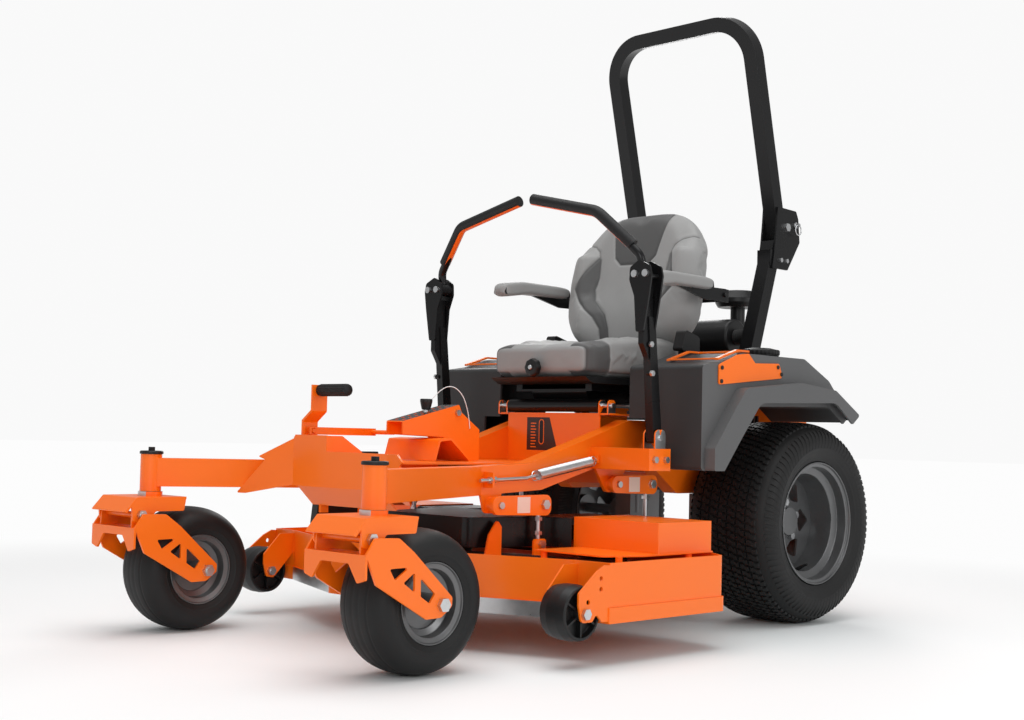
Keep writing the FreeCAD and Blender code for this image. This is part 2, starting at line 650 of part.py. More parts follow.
# ================================================================ casters
def caster_bracket():
    """Left swivel bracket: bent channel, kingpin, dust cap and fork pivot bolt."""
    x = CASTER_X
    half = BRACKET_HALF
    top = prism("x", [(FRONT_Y, 323, 2), (-1757, BRACKET_TOP, 6), (-1609, BRACKET_TOP), (-1609, 354),
                      (-1755, 354, 4), (FRONT_Y + 6, 321, 2)], x - half, x + half)
    ear = [(-1771, 338), (-1752, BRACKET_TOP - 1), (-1609, BRACKET_TOP - 1), (-1615, 323, 6),
           (-1700, 323, 8), (-1720, 296, 12), (-1766, 294, 12)]
    sides = [prism("x", ear, x + half - SHEET, x + half), prism("x", ear, x - half, x - half + SHEET)]
    kingpin = rod((x, CASTER_Y, 356), (x, CASTER_Y, HEAD_HIGH + 6), KINGPIN_R)
    collar = rod((x, CASTER_Y, 356), (x, CASTER_Y, HEAD_LOW - FACE_GAP), HEAD_R + 4)
    bolt = head_and_nut(x + half + 1, CASTER_PIVOT_Y, CASTER_PIVOT_Z, CASTER_PIVOT_R, x - half - 1)
    body = union([top, *sides, kingpin, collar, bolt])
    cap = turned_z([(KINGPIN_R + 0.01, HEAD_HIGH + FACE_GAP), (CAP_R, HEAD_HIGH + FACE_GAP, 1),
                    (CAP_R, HEAD_HIGH + 9, 4), (KINGPIN_R + 0.01, HEAD_HIGH + 9)], x, CASTER_Y)
    top_bolt = hexagon((x, CASTER_Y, HEAD_HIGH + 6), (x, CASTER_Y, HEAD_HIGH + 19), 17)
    return [body, cap, top_bolt]


FORK_SIDE = [(-1772, 283, 6), (-1742, 218, 6), (-1597, 136, 6), (-1553, 137, 16), (-1521, 160, 10),
             (-1520, 180, 8), (-1636, 284, 10), (-1680, 316, 14), (-1748, 318, 8)]
FORK_WINDOWS = [[(-1706, 251, 3), (-1649, 252, 3), (-1690, 226, 3)],
                [(-1666, 219, 3), (-1633, 241, 3), (-1633, 197, 3)],
                [(-1616, 228, 3), (-1615, 187, 3), (-1588, 170, 3), (-1573, 191, 3)]]


def caster_fork():
    """Left fork: two pierced arms, an arched front plate, pivot ears and the wheel bolt."""
    x = CASTER_X
    pieces = []
    for side in (-1, 1):
        low = x + side * (FORK_HALF - FORK_SHEET / 2) - FORK_SHEET / 2
        arm = prism("x", FORK_SIDE, low, low + FORK_SHEET)
        for window in FORK_WINDOWS:
            arm = arm.cut(prism("x", window, low - 1, low + FORK_SHEET + 1))
        pieces.append(arm)
        ear_x = x + side * (BRACKET_HALF - SHEET - FACE_GAP - 3)
        ear = prism("x", [(-1767, 268), (-1722, 268), (-1715, 320, 10), (-1740, 334, 14),
                          (-1765, 325, 14)], ear_x - 3, ear_x + 3)
        pieces.append(ear)
        shoulder = block((min(ear_x, low + 3), max(ear_x, low + 3)), (-1760, -1700), (268, 274))
        pieces.append(shoulder)
    front = prism("y", [(x - FORK_HALF, 283, 4), (x - FORK_HALF, 230, 4), (x - 78, 222, 4),
                        (x - 48, 262, 6), (x + 48, 262, 6), (x + 78, 222, 4), (x + FORK_HALF, 230, 4),
                        (x + FORK_HALF, 283, 4)], -1774, -1768)
    shelf = block((x - FORK_HALF, x + FORK_HALF), (-1774, -1715), (277, 283))
    pieces += [front, shelf]
    body = union(pieces)
    pivot = rod((x - 95, CASTER_PIVOT_Y, CASTER_PIVOT_Z), (x + 95, CASTER_PIVOT_Y, CASTER_PIVOT_Z),
                CASTER_PIVOT_R + RUN_GAP)
    body = body.cut(pivot)
    bolt = head_and_nut(x + FORK_HALF, CASTER_AXLE_Y, CASTER_TYRE_R, CASTER_AXLE_R, x - FORK_HALF)
    return [union([body, bolt])]


def caster_tyre():
    """Left caster tyre, smooth and round shouldered, open to the rim."""
    x = CASTER_X
    half = CASTER_TYRE_W / 2
    seat = CASTER_BEAD_R
    outer = [(x - 63.8, seat), (x - 63.8, CASTER_FLANGE_R + 0.5), (x - 76, CASTER_FLANGE_R + 2, 3),
             (x - half, CASTER_TYRE_R - 45, 22),
             (x - 62, CASTER_TYRE_R - 10, 22), (x - 30, CASTER_TYRE_R, 50), (x + 30, CASTER_TYRE_R, 50),
             (x + 62, CASTER_TYRE_R - 10, 22), (x + half, CASTER_TYRE_R - 45, 22),
             (x + 76, CASTER_FLANGE_R + 2, 3), (x + 63.8, CASTER_FLANGE_R + 0.5), (x + 63.8, seat)]
    inner = [(x + 54, seat), (x + 60, CASTER_FLANGE_R + 4, 5), (x + half - 8, CASTER_TYRE_R - 46, 18),
             (x + 54, CASTER_TYRE_R - 18, 14), (x - 54, CASTER_TYRE_R - 18, 14),
             (x - half + 8, CASTER_TYRE_R - 46, 18), (x - 60, CASTER_FLANGE_R + 4, 5), (x - 54, seat)]
    return [turned_x(outer + inner, CASTER_AXLE_Y, CASTER_TYRE_R)]


def caster_rim():
    """Left caster rim with its bearing tube."""
    x = CASTER_X
    seat = CASTER_BEAD_R - 0.5
    drum = [(x - 74, CASTER_FLANGE_R, 1.5), (x - 65, CASTER_FLANGE_R - 1, 2), (x - 64, seat),
            (x - 40, seat, 3), (x - 34, seat - 16, 3), (x + 34, seat - 16, 3), (x + 40, seat, 3),
            (x + 64, seat), (x + 65, CASTER_FLANGE_R - 1, 2), (x + 74, CASTER_FLANGE_R, 1.5),
            (x + 74, CASTER_FLANGE_R - 3, 1.5), (x + 69, CASTER_FLANGE_R - 5, 2), (x + 67, seat - 3, 2),
            (x + 43, seat - 4, 3), (x + 37, seat - 20, 3), (x - 37, seat - 20, 3),
            (x - 43, seat - 4, 3), (x - 67, seat - 3, 2), (x - 69, CASTER_FLANGE_R - 5, 2),
            (x - 74, CASTER_FLANGE_R - 3, 1.5)]
    barrel = turned_x(drum, CASTER_AXLE_Y, CASTER_TYRE_R)
    discs = [ring_x(CASTER_AXLE_Y, CASTER_TYRE_R, (x + s * 30 - 2, x + s * 30 + 2), seat - 18, 20)
             for s in (-1, 1)]
    reach = FORK_HALF - FORK_SHEET - 1
    hub = ring_x(CASTER_AXLE_Y, CASTER_TYRE_R, (x - reach, x + reach), 22, CASTER_AXLE_R + RUN_GAP)
    return [union([barrel, *discs, hub])]


# ================================================================ deck
def deck_plan(inset):
    """Deck outline in plan, moved inwards by inset."""
    half = DECK_HALF - inset
    nose = DECK_NOSE_Y + inset
    corner = DECK_CORNER_Y + inset
    side_end = DECK_SIDE_END_Y - inset
    rear = DECK_REAR_Y - inset
    right = [(half, corner, 3), (half, side_end, 20), (half - 70, rear, 20)]
    left = [(-half + 70, rear, 20), (-half, side_end, 20), (-half, corner, 3)]
    return [(DECK_NOSE_HALF, nose, 30), (560, corner - 9, 30), *right, *left, (-560, corner - 9, 30),
            (-DECK_NOSE_HALF, nose, 30)]


def deck_shell():
    """Welded deck: recessed top, skirts, wear lip, roller brackets, hanger lugs and spindle holes."""
    shell = prism("z", deck_plan(0), DECK_LOW, DECK_TOP)
    shell = shell.cut(prism("z", deck_plan(SHEET), DECK_LOW - 1, DECK_PLATE - SHEET))
    shell = shell.cut(prism("z", deck_plan(SHEET), DECK_PLATE, DECK_TOP + 1))
    lip = prism("z", deck_plan(-4), DECK_LOW, DECK_LOW + 38)
    lip = lip.cut(prism("z", deck_plan(2), DECK_LOW - 1, DECK_LOW + 39))
    mouth = block((-DECK_HALF - 10, -DECK_HALF + 12), (CHUTE_FRONT_Y, CHUTE_REAR_Y),
                  (DECK_LOW - 1, DECK_PLATE - 2 * SHEET))
    shell = union([shell, lip]).cut(mouth)
    outer = [(DECK_CORNER_Y + 40, 236), (DECK_CORNER_Y + 40, 106), (-1130, 106, 6), (-1150, 126, 6),
             (-1165, 109, 8), (-1203, 109, 14), (-1213, 150, 8), (-1213, 178, 6), (-1150, 226, 6),
             (-1120, 240, 4)]
    inner = [(-1110, 236), (-1110, 180, 4), (-1180, 108, 14), (-1205, 112, 12), (-1216, 150, 8),
             (-1216, 178, 6), (-1160, 236, 8)]
    outer_plate = prism("x", outer, DECK_HALF - SHEET, DECK_HALF)
    for y, z in ((-1135, 209), (-1135, 184), (-1180, 156)):
        outer_plate = outer_plate.cut(rod((650, y, z), (690, y, z), 6))
    inner_plate = prism("x", inner, SCALP_X - SCALP_HALF - 12, SCALP_X - SCALP_HALF - 7)
    bolt = head_and_nut(DECK_HALF + 0.5, SCALP_Y, SCALP_Z, SCALP_BOLT_R, SCALP_X - SCALP_HALF - 12.5)
    front_lug = prism("x", [(-945, DECK_PLATE - 2), (-898, DECK_PLATE - 2), (-898, 268, 8), (-945, 268, 8)],
                      258, 264)
    tall_lug = prism("x", [(-1078, DECK_PLATE - 2), (-1014, DECK_PLATE - 2), (-1014, 300, 6),
                           (-1030, 318, 6), (-1060, 280, 6)], 205, 211)
    rear_lug = prism("x", [(-612, 215), (-600, 215, 4), (-450, 262, 8), (-450, 298, 10),
                           (-490, 298, 10), (-612, DECK_TOP - 1)], 258, 264)
    lugs = union([front_lug, tall_lug, rear_lug])
    for y, z in ((FRONT_LIFT_Y + FRONT_LIFT_LENGTH, HANGER_FOOT_Z[0]),
                 (REAR_LIFT_Y + REAR_LIFT_LENGTH, HANGER_FOOT_Z[1])):
        lugs = lugs.cut(rod((240, y, z), (280, y, z), HANGER_FOOT_R + 0.1))
    shell = union([shell] + both([outer_plate, inner_plate, bolt, lugs]))
    for x, y in SPINDLES:
        shell = shell.cut(rod((x, y, DECK_PLATE - SHEET - 1), (x, y, DECK_PLATE + 1), HOUSING_R + 2))
    hinge = [rod((CHUTE_HINGE_X, y - 14, CHUTE_HINGE_Z), (CHUTE_HINGE_X, y + 14, CHUTE_HINGE_Z), 6)
             for y in (CHUTE_FRONT_Y, CHUTE_REAR_Y)]
    chute_lugs = [block((CHUTE_HINGE_X - 8, -DECK_HALF + 1), (y0, y1), (CHUTE_HINGE_Z - 8, CHUTE_HINGE_Z + 8))
            for y0, y1 in ((CHUTE_FRONT_Y - 14, CHUTE_FRONT_Y - 4), (CHUTE_REAR_Y + 4, CHUTE_REAR_Y + 14))]
    return [union([shell, *hinge, *chute_lugs])]


SPINDLES = [(SPINDLE_X, SPINDLE_Y), (0.0, CENTRE_SPINDLE_Y), (-SPINDLE_X, SPINDLE_Y)]


def belt_covers():
    """Orange covers over the outer pulleys, standing off the deck on a step plate."""
    low = DECK_TOP + 4
    points = [(COVER_SPLIT_X, COVER_FRONT_Y), (COVER_SIDE_X, COVER_FRONT_Y), (COVER_SIDE_X, COVER_REAR_Y),
              (COVER_SPLIT_X, COVER_REAR_Y)]
    box = prism("z", points, low, COVER_TOP, 2)
    hollow = block((COVER_SPLIT_X - 5, COVER_SIDE_X - 2.5), (COVER_FRONT_Y + 2.5, COVER_REAR_Y - 2.5),
                   (low - 1, COVER_TOP - 2.5))
    step = prism("z", [(330, -1010), (560, -1010, 20), (COVER_SIDE_X + 4, COVER_FRONT_Y - 60, 20),
                       (COVER_SIDE_X + 4, COVER_REAR_Y + 4, 4), (330, COVER_REAR_Y + 4, 4)],
                 low - 3, low + 1)
    spacers = [rod((x, y, DECK_PLATE), (x, y, low), 9) for x, y in ((350, -996), (590, -980), (590, -700))]
    return both([union([box.cut(hollow), step, *spacers])])


def centre_cover():
    """Black cover over the middle of the deck."""
    low = DECK_TOP + 0.3
    half = COVER_SPLIT_X - 0.5

    def plan(inset):
        return [(-half, COVER_REAR_Y - inset), (-half, -850 + inset), (-232 + inset, -872 + inset),
                (-168 + inset, -1100 + inset, 30), (168 - inset, -1100 + inset, 30),
                (232 - inset, -872 + inset), (half, -850 + inset), (half, COVER_REAR_Y - inset)]

    shell = prism("z", plan(0), low, COVER_TOP - 4)
    shell = shell.cut(prism("z", plan(4), low - 1, COVER_TOP - 8))
    ends = block((-half - 1, half + 1), (-846, COVER_REAR_Y - 4), (low - 1, COVER_TOP - 8))
    opening = block((-160, 160), (-790, COVER_REAR_Y + 1), (COVER_TOP - 40, COVER_TOP))
    return [shell.cut(ends).cut(opening)]


def spindle_housings():
    """Bearing housings bolted under the deck plate at each spindle."""
    shapes = []
    under = DECK_PLATE - SHEET
    for x, y in SPINDLES:
        body = turned_z([(SPINDLE_R + RUN_GAP, 166), (30, 166, 3), (HOUSING_R, under - 8),
                         (62, under - 8, 2), (62, under), (HOUSING_R, under), (HOUSING_R, DECK_PLATE + 4, 3),
                         (SPINDLE_R + RUN_GAP, DECK_PLATE + 4)], x, y)
        shapes.append(body)
    return shapes


def blade(x, y, turn):
    """Cutting blade, its spindle shaft, bolt and pulley."""
    bar = prism("x", [(-BLADE_R, 0), (BLADE_R, 0), (BLADE_R, BLADE_THICK), (-BLADE_R, BLADE_THICK)],
                -BLADE_WIDTH / 2, BLADE_WIDTH / 2)
    edge = -BLADE_WIDTH / 2
    sail = prism("y", [(-30, BLADE_THICK - 1), (edge, 24), (edge + 4, 26), (-24, BLADE_THICK)],
                 BLADE_R - 95, BLADE_R - 12)
    other = sail.copy()
    other.rotate(vec(0, 0, 0), vec(0, 0, 1), 180)
    corner_cut = [block((10, 40), (BLADE_R - 14, BLADE_R + 5), (-2, 30)),
                  block((-40, -10), (-BLADE_R - 5, -BLADE_R + 14), (-2, 30))]
    bar = union([bar, sail, other])
    for cut in corner_cut:
        bar = bar.cut(cut)
    bar.translate(vec(0, 0, BLADE_Z))
    shaft = rod((0, 0, BLADE_Z + BLADE_THICK - 1), (0, 0, PULLEY_LOW + 28), SPINDLE_R)
    washer = rod((0, 0, BLADE_Z + BLADE_THICK - 1), (0, 0, 165), 24)
    bolt = hexagon((0, 0, BLADE_Z - 14), (0, 0, BLADE_Z + 1), 24)
    base = PULLEY_LOW
    pulley = turned_z([(SPINDLE_R - 1, base), (PULLEY_R, base, 1), (PULLEY_R, base + 2),
                       (PULLEY_R - 14, base + 13), (PULLEY_R, base + 24), (PULLEY_R, base + 26, 1),
                       (SPINDLE_R - 1, base + 26)], 0, 0)
    whole = union([bar, shaft, washer, bolt, pulley])
    whole.rotate(vec(0, 0, 0), vec(0, 0, 1), turn)
    whole.translate(vec(x, y, 0))
    return [whole]


def deck_belt():
    """Belt round the three spindle pulleys, lying in their grooves."""
    z = (PULLEY_LOW + 9, PULLEY_LOW + 17)
    bands = []
    for reach in (PULLEY_R - 8, PULLEY_R):
        hulls = [prism("z", SPINDLES, *z)]
        for i in range(3):
            start = vec(*SPINDLES[i], 0)
            end = vec(*SPINDLES[(i + 1) % 3], 0)
            line = (end - start).normalize()
            out = vec(-line.y, line.x, 0) * reach
            strip = [start - out * 0.1, start + out, end + out, end - out * 0.1]
            hulls.append(prism("z", [(p.x, p.y) for p in strip], *z))
            hulls.append(rod((start.x, start.y, z[0]), (start.x, start.y, z[1]), reach))
        bands.append(union(hulls))
    return [bands[1].cut(bands[0])]


def scalp_wheel():
    """Left anti-scalp roller with ribs in its sides."""
    x = SCALP_X
    bore = SCALP_BOLT_R + 0.1
    tread = [(x - SCALP_HALF, bore), (x - SCALP_HALF, 16, 1), (x - SCALP_HALF + 16, 18, 1),
             (x - SCALP_HALF + 16, 54, 2), (x - SCALP_HALF, 56, 1), (x - SCALP_HALF, SCALP_R - 4, 4),
             (x - 15, SCALP_R, 20), (x + 15, SCALP_R, 20), (x + SCALP_HALF, SCALP_R - 4, 4),
             (x + SCALP_HALF, 56, 1), (x + SCALP_HALF - 16, 54, 2), (x + SCALP_HALF - 16, 18, 1),
             (x + SCALP_HALF, 16, 1), (x + SCALP_HALF, bore)]
    wheel = turned_x(tread, SCALP_Y, SCALP_Z)
    ribs = []
    for k in range(6):
        rib = block((x - SCALP_HALF + 3, x + SCALP_HALF - 3), (-2.5, 2.5), (16, 56))
        rib.rotate(vec(0, 0, 0), vec(1, 0, 0), 60 * k)
        rib.translate(vec(0, SCALP_Y, SCALP_Z))
        ribs.append(rib)
    return [union([wheel, *ribs])]


def discharge_chute():
    """Side discharge chute, folded up on its stop."""
    x = CHUTE_HINGE_X
    z = CHUTE_HINGE_Z
    front = CHUTE_FRONT_Y + 16
    rear = CHUTE_REAR_Y - 16
    tip = x - CHUTE_LENGTH
    sheet = prism("y", [(x - 9, z - 3), (x - 9, z + 3), (tip + 40, z - 4, 40), (tip, z - CHUTE_DEPTH + 6),
                        (tip, z - CHUTE_DEPTH), (tip + 40, z - 10, 36)], front, rear)
    cheek = [(x - 16, z - 1), (tip + 40, z - 6, 40), (tip + 2, z - CHUTE_DEPTH + 2),
             (x - 16, z - CHUTE_DEPTH, 8)]
    pieces = [sheet, prism("y", cheek, front, front + 5), prism("y", cheek, rear - 5, rear)]
    bores = []
    for y0, y1 in ((front - 12, front + 30), (rear - 30, rear + 12)):
        pieces.append(rod((x, y0, z), (x, y1, z), 11))
        bores.append(rod((x, y0 - 1, z), (x, y1 + 1, z), 6 + RUN_GAP))
    whole = union(pieces)
    for bore in bores:
        whole = whole.cut(bore)
    whole.rotate(vec(x, 0, z), vec(0, 1, 0), CHUTE_FOLD)
    return [whole]


# ================================================================ deck lift
def lift_arm(y, z, length):
    """One lift arm, its pivot bore and the hanger pin at its end."""
    high = LIFT_X + LIFT_SHEET
    plate = prism("x", [(y - 28, z - 24, 20), (y + length + 26, z - 30, 20), (y + length + 26, z + 26, 20),
                        (y - 28, z + 24, 20)], LIFT_X, high)
    bore = rod((LIFT_X - 1, y, z), (high + 1, y, z), LIFT_PIN_R + RUN_GAP)
    pin = union([rod((243, y + length, z), (high + 2, y + length, z), HANGER_PIN_R),
                 hexagon((high, y + length, z), (high + 9, y + length, z), 24)])
    return union([plate.cut(bore), pin])


def deck_hangers():
    """Threaded hanger rods with slotted eyes round the lift arms' pins."""
    shapes = []
    for y, z, low in ((FRONT_LIFT_Y + FRONT_LIFT_LENGTH, FRONT_LIFT_Z, HANGER_FOOT_Z[0]),
                      (REAR_LIFT_Y + REAR_LIFT_LENGTH, REAR_LIFT_Z, HANGER_FOOT_Z[1])):
        eye = prism("x", [(y - 26, z - 17, 12), (y + 26, z - 17, 12), (y + 26, z + 17, 12),
                          (y - 26, z + 17, 12)], 247, 255)
        slot = prism("x", [(y - 17, z - 8, 7), (y + 17, z - 8, 7), (y + 17, z + 8, 7), (y - 17, z + 8, 7)],
                     246, 256)
        stem = rod((251, y, low - 6), (251, y, z - 12), 6.5)
        nuts = [hexagon((251, y, nut), (251, y, nut + 10), 19) for nut in (low + 24, z - 44)]
        foot = union([rod((244, y, low), (272, y, low), HANGER_FOOT_R),
                      hexagon((264, y, low), (273, y, low), 20)])
        shapes.append(union([eye.cut(slot), stem, *nuts, foot]))
    return both(shapes)


def lift_springs():
    """Coil springs that carry most of the deck's weight, drawn as their outer form."""
    return both([rod((SPRING_X, -945, 436), (SPRING_X, -712, 476), 15)])


def frame_hardware():
    """Spring eyebolts, spring lugs, rack bolt and the frame's visible bolts."""
    x = SPRING_X
    rail_face = RAIL_X + RAIL_WIDTH / 2
    eye = union([rod((x, -1148, 424), (x, -975, 430), 5), rod((x, -979, 430), (x, -945.3, 436), 4),
                 block((rail_face, SPRING_X + 8), (-1110, -1103), (405, 446)),
                 hexagon((x, -1116, 425), (x, -1109, 425), 17),
                 hexagon((x, -1104, 426), (x, -1093, 426), 17)])
    lug = union([block((rail_face, SPRING_X + 8), (-700, -694), (471, 492)),
                 rod((x, -711.7, 476), (x, -694, 479), 4)])
    shapes = [eye, lug]
    for y in (-670, -622):
        shapes.append(hexagon((446.1, y, 485), (455, y, 485), 17))
    rack_side = RACK_X + RACK_HALF
    return both(shapes) + [hexagon((rack_side + 0.1, -992, 601), (rack_side + 8, -992, 601), 16)]


# ================================================================ foot pedal
def foot_pedal():
    """Lift pedal: strap with a sideways step on a pivot tube, and its round grip."""
    outer = PEDAL_X - PEDAL_SHEET / 2
    inner = PEDAL_X + PEDAL_SHEET / 2
    strap = prism("y", [(outer, PEDAL_Z - 8), (outer, 570, 3), (outer + PEDAL_STEP, 597, 3),
                        (outer + PEDAL_STEP, PEDAL_TOP), (inner + PEDAL_STEP, PEDAL_TOP),
                        (inner + PEDAL_STEP, 593, 6), (inner, 566, 6), (inner, PEDAL_Z - 8)],
                  PEDAL_Y - PEDAL_WIDTH / 2, PEDAL_Y + PEDAL_WIDTH / 2)
    tube = rod((outer - 2, PEDAL_Y, PEDAL_Z), (inner + 50, PEDAL_Y, PEDAL_Z), 15)
    pin = rod((inner - 1, PEDAL_Y, LINK_Z), (LINK_X + 6, PEDAL_Y, LINK_Z), LINK_PIN_R)
    start = inner + PEDAL_STEP
    core = rod((start - 1, PEDAL_Y, PEDAL_GRIP_Z), (start + PEDAL_GRIP_LENGTH, PEDAL_Y, PEDAL_GRIP_Z), 7)
    body = union([strap, tube, pin, core])
    body = body.cut(rod((outer - 4, PEDAL_Y, PEDAL_Z), (inner + 60, PEDAL_Y, PEDAL_Z), PEDAL_PIN_R + RUN_GAP))
    grip = pipe((start + FACE_GAP, PEDAL_Y, PEDAL_GRIP_Z),
                (start + PEDAL_GRIP_LENGTH, PEDAL_Y, PEDAL_GRIP_Z), 15, 7)
    return [body, grip]


def pedal_link():
    """Flat link bar from the pedal back under the height rack."""
    bar = block((LINK_X - 3, LINK_X + 3), (PEDAL_Y - 12, -1150), (LINK_Z - 10, LINK_Z + 10))
    front = PEDAL_Y - LINK_PIN_R - LINK_PLAY
    back = PEDAL_Y + LINK_PIN_R + LINK_PLAY
    slot = prism("x", [(front, LINK_Z - 8, 5), (back, LINK_Z - 8, 5), (back, LINK_Z + 8, 5),
                       (front, LINK_Z + 8, 5)], LINK_X - 4, LINK_X + 4)
    tail = rod((LINK_X, -1162, LINK_Z), (RACK_X - RACK_HALF - 1, -1162, LINK_Z), LINK_PIN_R)
    return [union([bar.cut(slot), tail])]


# ================================================================ engine
def engine_block():
    """Vertical-shaft twin: crankcase, finned cylinders, mounting plate and silencer."""
    plate = block((-184, 184), (-250, 250), (470.5, 478))
    case = turned_z([(0, 478), (140, 478, 10), (140, 640, 20), (0, 640)], 0, ENGINE_Y)
    barrels = []
    for s in (-1, 1):
        for k in range(5):
            y = ENGINE_Y + 100 + 20 * k
            barrels.append(block((s * 88 - 62, s * 88 + 62), (y, y + 8), (500, 625)))
        barrels.append(block((s * 88 - 44, s * 88 + 44), (ENGINE_Y + 60, ENGINE_Y + 192), (515, 610)))
    silencer = union([prism("x", [(268, 492, 35), (352, 492, 35), (352, 592, 35), (268, 592, 35)], -180, 180),
                      rod((130, 236, 545), (130, 275, 545), 20)])
    return [union([plate, case, *barrels, silencer])]


def engine_shroud():
    """Blower housing with its round screen."""
    drum = turned_z([(0, 645), (150, 645, 10), (147, 760, 30), (112, 792, 10), (0, 792)], 0, ENGINE_Y)
    hollow = turned_z([(0, 644), (145, 644), (142, 757, 26), (110, 787, 8), (0, 787)], 0, ENGINE_Y)
    screen = turned_z([(0, 792.1), (100, 792.1, 2), (100, 806, 6), (0, 812)], 0, ENGINE_Y)
    return [drum.cut(hollow), screen]


def air_intake():
    """Remote air cleaner: can, neck, pre-cleaner bowl and bracket."""
    can = turned_x([(-120, 0), (-120, 62, 10), (120, 62, 10), (120, 0)], CLEANER_Y, CLEANER_Z)
    neck_y = CLEANER_Y + 80
    elbow = union([rod((65, neck_y, CLEANER_Z), (65, neck_y, 988), 24),
                   rod((65, CLEANER_Y, CLEANER_Z), (65, neck_y, CLEANER_Z), 24),
                   Part.makeSphere(24, vec(65, neck_y, CLEANER_Z))])
    bowl = turned_z([(0, 987), (66, 987, 4), (75, 1002, 6), (75, 1016, 3), (58, 1042, 8), (0, 1044)],
                    65, neck_y)
    bracket = block((-20, 20), (204, 210), (626, CLEANER_Z - 10))
    return [union([can, elbow, bowl, bracket])]


# ================================================================ fenders
FENDER_SIDE = [(-560, 458, 12), (-560, 748, 14), (-470, 762, 30), (-380, 790, 30), (-60, 790, 30),
               (75, 730, 30), (190, 628, 6), (150, 604, 6), (70, 652, 60), (-330, 640, 60),
               (-430, 545, 60), (-505, 458, 12)]


def fender():
    """Left fender: moulded cowl over the wheel with a flared lip."""
    low = 262.0
    high = 520.0
    flare_out = 556.0
    cowl = prism("x", FENDER_SIDE, low, high)
    inner = [(-552, 464, 8), (-552, 740, 10), (-468, 754, 26), (-378, 782, 26), (-62, 782, 26),
             (70, 724, 26), (180, 628, 6), (120, 622, 2), (70, 660, 56), (-333, 648, 56),
             (-436, 549, 56), (-510, 464, 8)]
    cowl = cowl.cut(prism("x", inner, low - 1, high - 8))
    flare = prism("x", [(-545, 458, 6), (-545, 520, 10), (-470, 610, 30), (-400, 690, 30), (-120, 716, 60),
                        (60, 700, 30), (196, 628, 6), (156, 600, 6), (60, 662, 40), (-330, 650, 60),
                        (-425, 545, 60), (-500, 458, 6)], high - 4, flare_out)
    shell_cut = prism("x", [(-532, 450), (-470, 596, 30), (-398, 682, 30), (-120, 708, 60), (60, 692, 30),
                            (184, 622), (150, 590), (60, 654, 40), (-330, 640, 60), (-420, 535, 60),
                            (-490, 450)], high + 1, flare_out - 6)
    notch = block((low - 2, 330), (-575, -500), (440, 600))
    post_gap = block((low - 2, ROLL_X + 30), (-185, 45), (600, 800))
    body = union([cowl, flare.cut(shell_cut)]).cut(notch).cut(post_gap)
    collar = rod((435, -170, 783), (435, -170, 794), 46)
    cap = turned_z([(0, 794.2), (57, 794.2, 2), (57, 812, 5), (34, 818, 4), (0, 818)], 435, -170)
    return [union([body, collar]), cap]


def badge_plates():
    """Orange side plates on the fenders and the open frames on their tops."""
    plate = prism("x", [(-490, 696, 8), (-178, 727, 10), (-199, 769, 10), (-318, 764, 6), (-350, 790, 4),
                        (-404, 784, 4), (-490, 752, 8)], 520.3, 525)
    bolts = []
    for y, z in ((-480, 706), (-188, 738), (-206, 758), (-478, 744)):
        bolts.append(rod((525.1, y, z), (528, y, z), 6))
    slope = [(-480, 765), (-384, 794, 10), (-330, 794), (-330, 800), (-386, 800, 10), (-480, 771)]
    frame = union([prism("x", slope, 330, 342), prism("x", slope, 500, 512),
                   block((330, 512), (-342, -330), (794, 800)), block((330, 512), (-480, -468), (767, 772))])
    return both([plate, *bolts, frame])


# ================================================================ roll bar
def rops_posts():
    """Lower posts with their hinge plates and pivot bolts."""
    low = ROLL_X - ROLL_TUBE / 2
    high = ROLL_X + ROLL_TUBE / 2
    lean = math.tan(math.radians(POST_LEAN))
    top = ROLL_PIVOT_Z - 46
    depth = ROLL_TUBE / math.cos(math.radians(POST_LEAN))
    wall = TUBE_WALL

    def front_at(z):
        return -26 + lean * (z - 829)

    outer = [(front_at(POST_FOOT_Z), POST_FOOT_Z), (front_at(top), top), (front_at(top) + depth, top),
             (front_at(POST_FOOT_Z) + depth, POST_FOOT_Z)]
    below = POST_FOOT_Z - 10
    above = top + 10
    inner = [(front_at(below) + wall, below), (front_at(above) + wall, above),
             (front_at(above) + depth - wall, above), (front_at(below) + depth - wall, below)]
    tube = prism("x", outer, low, high).cut(prism("x", inner, low + wall, high - wall))
    plate = [(73, 1091, 4), (158, 1091, 6), (225, 1187, 10), (216, 1262, 10), (203, 1287, 8), (100, 1290, 4),
             (96, 1240, 4), (88, 1170, 4)]
    pieces = [tube]
    for x in (high + PLATE_GAP, low - PLATE_GAP - PLATE_SHEET):
        pieces.append(prism("x", plate, x, x + PLATE_SHEET))
    spacer = block((low - 2, high + 2), (front_at(1100) + 5, front_at(1150) + 20), (1100, 1150))
    body = union([*pieces, spacer])
    body = body.cut(rod((high - 20, LOCK_PIN_Y, LOCK_PIN_Z), (high + 20, LOCK_PIN_Y, LOCK_PIN_Z),
                        LOCK_PIN_R + RUN_GAP))
    bolt = head_and_nut(high + PLATE_GAP + PLATE_SHEET, ROLL_PIVOT_Y, ROLL_PIVOT_Z, ROLL_PIVOT_R,
                        low - PLATE_GAP - PLATE_SHEET)
    studs = [rod((high, y, 1120), (high + 12, y, 1120), 7) for y in (118, 150)]
    return both([union([body, bolt, *studs])])


def lock_pin():
    """Roll bar lock pin in the outer hinge plate, with its ring."""
    high = ROLL_X + ROLL_TUBE / 2
    pin = rod((high + 0.6, LOCK_PIN_Y, LOCK_PIN_Z), (high + 24, LOCK_PIN_Y, LOCK_PIN_Z), LOCK_PIN_R)
    collar = rod((high + 7, LOCK_PIN_Y, LOCK_PIN_Z), (high + 12, LOCK_PIN_Y, LOCK_PIN_Z), 10)
    ring = Part.makeTorus(16, 1.8, vec(high + 20, LOCK_PIN_Y, LOCK_PIN_Z - 16), vec(1, 0, 0))
    return [union([pin, collar, ring])]


